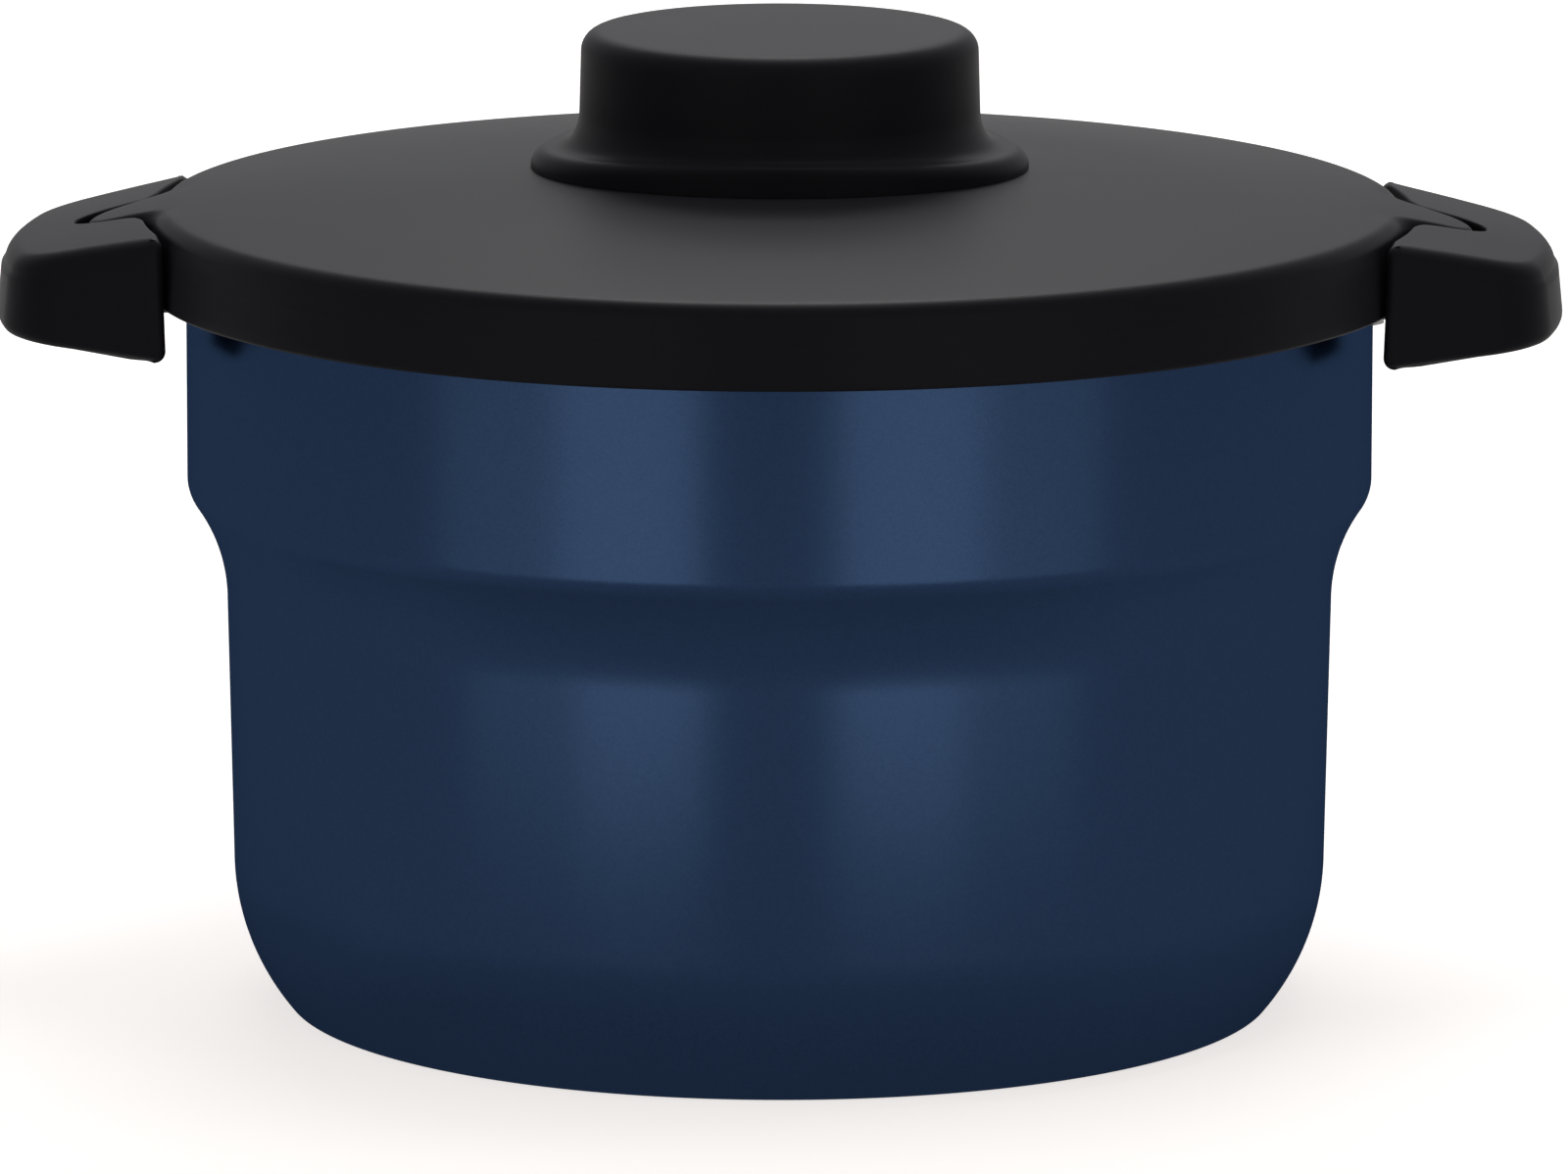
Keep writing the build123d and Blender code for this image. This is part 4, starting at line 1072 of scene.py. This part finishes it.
def handle_rows(shape):
    """The handle's closed surface as rows of points that run round it, and how many lie on its outer side."""
    sizes = shape.sizes
    full = (sizes.top - shape.bottom) * tan(sizes.draft)
    pocketed = shape.outline(0.0, 0.0, True), shape.outline(full, 0.0, True)
    plain = shape.outline(0.0, 0.0, False), shape.outline(full, 0.0, False)
    low = pocketed[0]
    every = range(len(low))
    total = len(low) // 2 + 1
    ways_high = outward(pocketed[1])
    plain_ways = outward(plain[0])
    rounds = []
    for index, place in enumerate(low):
        if index < total:
            along = min(max(shape.share_out(place.x), 0.0), 1.0)
            end = sizes.top_round + (sizes.tip_round - sizes.top_round) * along
            share = smooth_step(*ROOT_FADE, place.x - shape.root)
        else:
            end = sizes.lip_round
            share = smooth_step(0.0, LIP_FADE, (Vector((place.x, abs(place.y))) - low[total - 1]).length)
        rounds.append(sizes.root_round + (end - sizes.root_round) * share)
    under_round = [min(sizes.bottom_round, size) for size in rounds]

    def drafted(index, height, outlines=pocketed):
        """A point of the drafted wall at a height."""
        share = max(height - shape.bottom, 0.0) / (sizes.top - shape.bottom)
        return outlines[0][index].lerp(outlines[1][index], share)

    def top_point(index, lean):
        """A point of the rounded top edge, from the top face at 0 to the wall at a quarter turn."""
        size = rounds[index]
        place = drafted(index, sizes.top - size) - ways_high[index] * size * (1 - sin(lean))
        return (place.x, place.y, shape.top(place) - size * (1 - cos(lean)))

    floor = shape.lid.ear_under - POCKET_FLOOR_GAP
    lows = []
    for index, place in enumerate(plain[0]):
        in_notch = index >= total and abs(place.y) < bracket_high.y + NOTCH_SIDE_GAP
        lows.append(bracket_high.z + NOTCH_TOP_GAP if in_notch else shape.under(place.x))

    def wall_point(index, share_high, share_floor, share_low):
        """A point below the rounded top: down the wall, across the pocket's floor, or down to the lower edge."""
        start, end = rows[FINE_ARC][index][2], lows[index] + under_round[index]
        if index < total:
            height = start + (end - start) * (share_high + 2 * share_low) / 3
            place = drafted(index, height)
        else:
            height = start + (floor - start) * share_high + (end - floor) * share_low
            place = drafted(index, height).lerp(drafted(index, height, plain), share_floor)
        return (place.x, place.y, height)

    def under_point(index, lean):
        """A point of the rounded lower edge."""
        size = under_round[index]
        place = drafted(index, lows[index] + size, plain) - plain_ways[index] * size * (1 - cos(lean))
        return (place.x, place.y, lows[index] + size * (1 - sin(lean)))

    rows = [[top_point(index, lean) for index in every] for lean in (0.0, *leans(FINE_ARC))]
    runs = [(share, 0.0, 0.0) for share in shares(4)]
    runs += [(1.0, share, 0.0) for share in shares(3)]
    runs += [(1.0, 1.0, share) for share in shares(5)]
    rows += [[wall_point(index, *run) for index in every] for run in runs]
    rows += [[under_point(index, lean) for index in every] for lean in leans(6)]
    hollow = shape.outline(sizes.wall, sizes.wall, False)
    rows.append([(place.x, place.y, lows[index]) for index, place in enumerate(hollow)])
    roof = shape.outline(sizes.wall + HOLLOW_TAPER, sizes.wall + HOLLOW_TAPER, False)
    rows.append([(place.x, place.y, floor - sizes.wall) for place in roof])
    return rows, total


def capped(solid, row, total, height_at, steps, upward):
    """Closes a loop of points with a ruled face between its outer and inner halves."""
    outer = [Vector(point) for point in row[:total]]
    inner = [outer[0], *(Vector(point) for point in reversed(row[total:])), outer[-1]]
    lines = [[first.lerp(second, share) for first, second in zip(outer, inner)] for share in (0.0, *shares(steps))]
    for line in lines[1:-1]:
        for point in line:
            point.z = height_at(point)
    weld_grid(solid, lines[::-1] if upward else lines, closed=False)


class COOKER_OT_handles(Operator):
    """Moulds the two hollow handles with the pockets for the lid's ears"""

    bl_idname = "cooker.handles"
    bl_label = "Make handles"

    def execute(self, context):
        shape = HandleShape(context.scene.cooker_handle, LidShape(context.scene.cooker_lid))
        rows, total = handle_rows(shape)
        roof = rows[-1][0][2]
        for side, way in SIDES.items():
            solid = bmesh.new()
            weld_grid(solid, rows)
            capped(solid, rows[0], total, shape.top, 14, True)
            capped(solid, rows[-1], total, lambda place: roof, 4, False)
            if way < 0:
                bmesh.ops.scale(solid, vec=(way, 1, 1), verts=solid.verts)
                bmesh.ops.reverse_faces(solid, faces=solid.faces)
            name = "handle_" + side
            finished("moulded_" + name, solid, "black_polypropylene", "vessel", "black_plastic", name)
        return {"FINISHED"}


# Brackets


def flange_rows(sizes, inside):
    """The upright flange that is welded to the vessel, as loops of four points that run along it."""
    outside = inside + sizes.sheet
    half, top = bracket_high.y, bracket_high.z - sizes.sheet / 2
    reach = asin(half / outside)
    rows = []
    for turn in spaced(-reach, reach, 24):
        low = bracket_low.z + sizes.flange_trim * abs(sin(turn) * outside / half)
        section = ((inside, low), (outside, low), (outside, top), (inside, top))
        rows.append([(radius * cos(turn), radius * sin(turn), height) for radius, height in section])
    return rows


def shelf_rows(sizes, inside):
    """The flat shelf's upper and lower outline, from its front corner round the tip and back along the vessel."""
    half, corner = bracket_high.y, sizes.shelf_corner
    outer = bracket_high.x - corner
    points = arc((outer, -half + corner), corner, -pi / 2, 0.0) + arc((outer, half - corner), corner, 0.0, pi / 2)
    reach = asin(half / inside)
    points += arc((0.0, 0.0), inside, reach, -reach, 2 * FINE_ARC)
    return [[(x, y, height) for x, y in points] for height in (bracket_high.z, bracket_high.z - sizes.sheet)]


class COOKER_OT_brackets(Operator):
    """Presses the coated steel brackets that carry the handles"""

    bl_idname = "cooker.brackets"
    bl_label = "Make brackets"

    def execute(self, context):
        sizes = context.scene.cooker_handle
        inside = shell_high.x + context.scene.cooker_vessel.paint_gain + SET_GAP
        for side, way in SIDES.items():
            solid = bmesh.new()
            weld_grid(solid, flange_rows(sizes, inside))
            weld_grid(solid, shelf_rows(sizes, inside))
            bmesh.ops.holes_fill(solid, edges=solid.edges, sides=0)
            bmesh.ops.scale(solid, vec=(way, 1, 1), verts=solid.verts)
            bmesh.ops.recalc_face_normals(solid, faces=solid.faces)
            name = "handle_bracket_" + side
            finished("pressed_" + name, solid, "black_coated_steel", "vessel", "black_coated_steel", name)
        return {"FINISHED"}


# Screws


def pan_head_screw(reach):
    """A cross-recessed pan-head screw, head down, with its seat at the origin and a shank of a given reach."""
    profile = [(0.0, -HEAD_HEIGHT)]
    for lean in leans(8):
        height = -HEAD_HEIGHT + HEAD_CROWN * HEAD_HEIGHT * (1 - cos(lean))
        profile.append((HEAD_RADIUS * sin(lean), height))
    profile += [(HEAD_RADIUS, 0.0), (SHANK_RADIUS, 0.0)]
    for index in range(int(reach / RING_PITCH)):
        low = RING_PITCH * index
        profile += [(SHANK_RADIUS * share, low + RING_PITCH * along) for share, along in RINGS]
    profile += [(SHANK_RADIUS * POINT_SHARE, reach - POINT_LENGTH), (0.0, reach)]
    turns = spaced(0.0, 2 * pi, SCREW_SEGMENTS)[:-1]
    rows = [[(radius * cos(turn), radius * sin(turn), height) for turn in turns] for radius, height in profile]
    solid = bmesh.new()
    weld_grid(solid, rows[::-1])
    bmesh.ops.remove_doubles(solid, verts=solid.verts, dist=WELD)
    form = placed("screw_form", mesh_of("screw_form", solid))
    cut_cross(form)
    return form


def cut_cross(form):
    """Cuts the driver's cross recess into a screw's head."""
    solid = bmesh.new()
    arm, width, depth = CROSS_ARM * HEAD_RADIUS, CROSS_WIDTH * HEAD_RADIUS, CROSS_DEPTH * HEAD_HEIGHT
    for long_x, long_y in ((arm, width), (width, arm)):
        made = bmesh.ops.create_cube(solid, size=2.0)["verts"]
        bmesh.ops.scale(solid, vec=(long_x, long_y, depth), verts=made)
        bmesh.ops.translate(solid, vec=(0, 0, -HEAD_HEIGHT), verts=made)
    cutter = placed("cross_cutter", mesh_of("cross_cutter", solid))
    modifier = form.modifiers.new("Cross", "BOOLEAN")
    modifier.operation = "DIFFERENCE"
    modifier.object = cutter
    modifier.use_self = True
    graph = bpy.context.evaluated_depsgraph_get()
    cut = bpy.data.meshes.new_from_object(form.evaluated_get(graph))
    form.modifiers.remove(modifier)
    form.data = cut
    bpy.data.objects.remove(cutter)


class COOKER_OT_screws(Operator):
    """Sets the pan-head screws of the handles and of the knob"""

    bl_idname = "cooker.screws"
    bl_label = "Set screws"

    def execute(self, context):
        tree = screw_tree()
        low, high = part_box("handle_screws_right")
        x, y = (low.x + high.x) / 2, high.y - HEAD_RADIUS
        places = ((x, y), (x, -y), (-x, y), (-x, -y))
        replaced = ("handle_screws_right", "handle_screws_left")
        self.set_group("handle_screw_set", places, low.z, high.z, tree, "vessel", replaced)
        low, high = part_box("lid_knob_screws")
        places = arc((0.0, 0.0), high.y - HEAD_RADIUS, pi / 2, pi / 2 + 2 * pi, 3)[:-1]
        self.set_group("knob_screw_set", places, low.z, high.z, tree, "lid", ("lid_knob_screws",))
        return {"FINISHED"}

    def set_group(self, name, places, foot, top, tree, body, replaced):
        """Grows one body's screws and removes the form that they were copied from."""
        seat = foot + HEAD_HEIGHT
        form = pan_head_screw(top - seat)
        stands = bpy.data.meshes.new(name + "_places")
        stands.from_pydata([(x, y, seat) for x, y in places], [], [])
        screws = grown(name, stands, tree, {"Screw": form, "Finish": finish_named("zinc_plated_steel")})
        bpy.data.objects.remove(form)
        joined(screws, body, "stainless_steel", *replaced)


# Stage

# What the lamps are turned to
MIDDLE = (0.0, 0.0, 0.09)
# Lamps that shine in the paint at both sides, as (name, degrees off the front, width, share of the power).
# Each shine is a narrow strip and a wider one, so that it fades towards the side.
SHINES = (("strip", 22.5, 0.134, 1.0), ("wing", 33.5, 0.273, 1.36))
SHINE_AWAY = 0.33
SHINE_LEVEL = 0.13
SHINE_HEIGHT = 0.26
SHINE_COLOUR = (1.0, 0.86, 0.74)
# Softboxes, as (name, place, width, height, whether it also lights dull surfaces)
SOFTBOXES = (
    ("back", (0.0, 1.3, 1.3), 1.2, 0.7, True),
    ("sheen", (0.0, 0.75, 1.3), 0.5, 0.4, False),
    ("top", (0.12, 0.05, 1.25), 0.6, 0.6, True),
)
# The floor: its half width, its height just under the rest ring, its paper, and the light that lifts it to white
FLOOR_HALF = 4.0
FLOOR_LEVEL = -0.1 * MM
PAPER = (0.8, 0.79, 0.78, 1.0)
PAPER_ROUGHNESS = 0.6
GLOW = (1.0, 0.96, 0.935, 1.0)
GLOW_STRENGTH = 0.74
# The camera's sensor in millimetres, and the nearest and farthest place that it sees in metres
SENSOR_WIDTH = 36.0
SEEN_RANGE = (0.05, 20.0)


def seen_ray(tree):
    """1 for a ray that shows the background, straight, in a shine or through glass, and otherwise 0."""
    ray = node(tree, "ShaderNodeLightPath").outputs
    straight = node(tree, "ShaderNodeMath", {0: ray["Is Camera Ray"], 1: ray["Is Glossy Ray"]}, operation="MAXIMUM")
    return node(tree, "ShaderNodeMath", {0: straight, 1: ray["Is Transmission Ray"]}, operation="MAXIMUM")


def floor_material():
    """Seamless white paper: plain to the lamps, and lifted to white where it is seen."""
    material = bpy.data.materials.new("white_paper_sweep")
    tree = cleared(material)
    lift = node(tree, "ShaderNodeMath", {0: seen_ray(tree), 1: GLOW_STRENGTH}, operation="MULTIPLY")
    paper = node(tree, "ShaderNodeBsdfDiffuse", {"Color": PAPER, "Roughness": PAPER_ROUGHNESS})
    glow = node(tree, "ShaderNodeEmission", {"Color": GLOW, "Strength": lift})
    node(tree, "ShaderNodeOutputMaterial", {"Surface": node(tree, "ShaderNodeAddShader", {0: paper, 1: glow})})
    return material


def facing(place, aim):
    """The pose of a lamp or camera at a place that looks at an aim."""
    way = Vector(aim) - Vector(place)
    return Matrix.Translation(place) @ way.to_track_quat("-Z", "Y").to_matrix().to_4x4()


def softbox(name, place, aim, width, height, watts, lights_dull=True, colour=(1.0, 1.0, 1.0)):
    """A rectangular lamp at a place, turned to an aim and hidden from the camera."""
    lamp = bpy.data.lights.new(name, "AREA")
    lamp.shape = "RECTANGLE"
    lamp.size, lamp.size_y = width, height
    lamp.energy = watts
    lamp.color = colour
    box = placed(name, lamp)
    box.matrix_world = facing(place, aim)
    box.visible_camera = False
    box.visible_diffuse = lights_dull


class COOKER_OT_stage(Operator):
    """Lays the floor and sets the camera, the lamps and the world"""

    bl_idname = "cooker.stage"
    bl_label = "Make stage"

    def execute(self, context):
        settings = context.scene.cooker_stage
        self.lay_floor()
        self.set_camera(context.scene, settings)
        for side, way in reversed(SIDES.items()):
            for kind, degrees, width, share in SHINES:
                turn = radians(degrees)
                place = (way * SHINE_AWAY * sin(turn), -SHINE_AWAY * cos(turn), SHINE_LEVEL)
                aim = (0.0, 0.0, SHINE_LEVEL)
                watts = settings.shine_power * share
                softbox(side + "_" + kind, place, aim, width, SHINE_HEIGHT, watts, False, SHINE_COLOUR)
        for name, place, width, height, lights_dull in SOFTBOXES:
            watts = getattr(settings, name + "_power")
            softbox(name + "_softbox", place, MIDDLE, width, height, watts, lights_dull)
        self.set_world(context.scene, settings.world)
        context.scene.view_settings.view_transform = "Standard"
        return {"FINISHED"}

    def set_world(self, scene, strength):
        """An even light all round, white where it is seen."""
        scene.world = bpy.data.worlds.new("even_light")
        tree = cleared(scene.world)
        seen = node(tree, "ShaderNodeMath", {0: seen_ray(tree), 1: strength}, operation="MAXIMUM")
        light = node(tree, "ShaderNodeBackground", {"Color": (1.0, 1.0, 1.0, 1.0), "Strength": seen})
        node(tree, "ShaderNodeOutputWorld", {"Surface": light})

    def lay_floor(self):
        """A wide floor just under the rest ring."""
        corners = [(FLOOR_HALF * x, FLOOR_HALF * y, FLOOR_LEVEL) for x, y in ((-1, -1), (1, -1), (1, 1), (-1, 1))]
        mesh = bpy.data.meshes.new("floor")
        mesh.from_pydata(corners, [], [(0, 1, 2, 3)])
        mesh.materials.append(floor_material())
        placed("floor", mesh)

    def set_camera(self, scene, settings):
        """The photograph's long lens, a little above the lid."""
        lens = bpy.data.cameras.new("camera")
        lens.lens = settings.lens
        lens.sensor_width = SENSOR_WIDTH
        lens.clip_start, lens.clip_end = SEEN_RANGE
        camera = placed("camera", lens)
        turned = Matrix.Rotation(settings.roll, 4, "Z")
        camera.matrix_world = facing(settings.camera_place, settings.camera_aim) @ turned
        scene.camera = camera


class COOKER_PT_panel(Panel):
    """Lists the steps that make the cooker"""

    bl_label = "Thermal cooker"
    bl_idname = "COOKER_PT_panel"
    bl_space_type = "VIEW_3D"
    bl_region_type = "UI"
    bl_category = "Cooker"

    def draw(self, context):
        for step in STEPS:
            self.layout.operator(step.bl_idname)
        for name in GROUPS:
            box = self.layout.box()
            group = getattr(context.scene, name)
            for key in group.__annotations__:
                box.prop(group, key)


GROUPS = {
    "cooker_vessel": VesselSizes,
    "cooker_lid": LidSizes,
    "cooker_knob": KnobSizes,
    "cooker_handle": HandleSizes,
    "cooker_colours": FinishColours,
    "cooker_stage": StageSettings,
}
STEPS = (
    COOKER_OT_finishes,
    COOKER_OT_vessel,
    COOKER_OT_lid,
    COOKER_OT_knob,
    COOKER_OT_handles,
    COOKER_OT_brackets,
    COOKER_OT_screws,
    COOKER_OT_stage,
)


def register():
    for group in GROUPS.values():
        bpy.utils.register_class(group)
    for name, group in GROUPS.items():
        setattr(bpy.types.Scene, name, PointerProperty(type=group))
    for step in (*STEPS, COOKER_PT_panel):
        bpy.utils.register_class(step)


def unregister():
    for step in (COOKER_PT_panel, *reversed(STEPS)):
        bpy.utils.unregister_class(step)
    for name in GROUPS:
        delattr(bpy.types.Scene, name)
    for group in reversed(list(GROUPS.values())):
        bpy.utils.unregister_class(group)


def main():
    """Makes every piece in order."""
    register()
    bpy.ops.cooker.finishes()
    bpy.ops.cooker.vessel()
    bpy.ops.cooker.lid()
    bpy.ops.cooker.knob()
    bpy.ops.cooker.handles()
    bpy.ops.cooker.brackets()
    bpy.ops.cooker.screws()
    bpy.ops.cooker.stage()


if __name__ == "__main__":
    main()
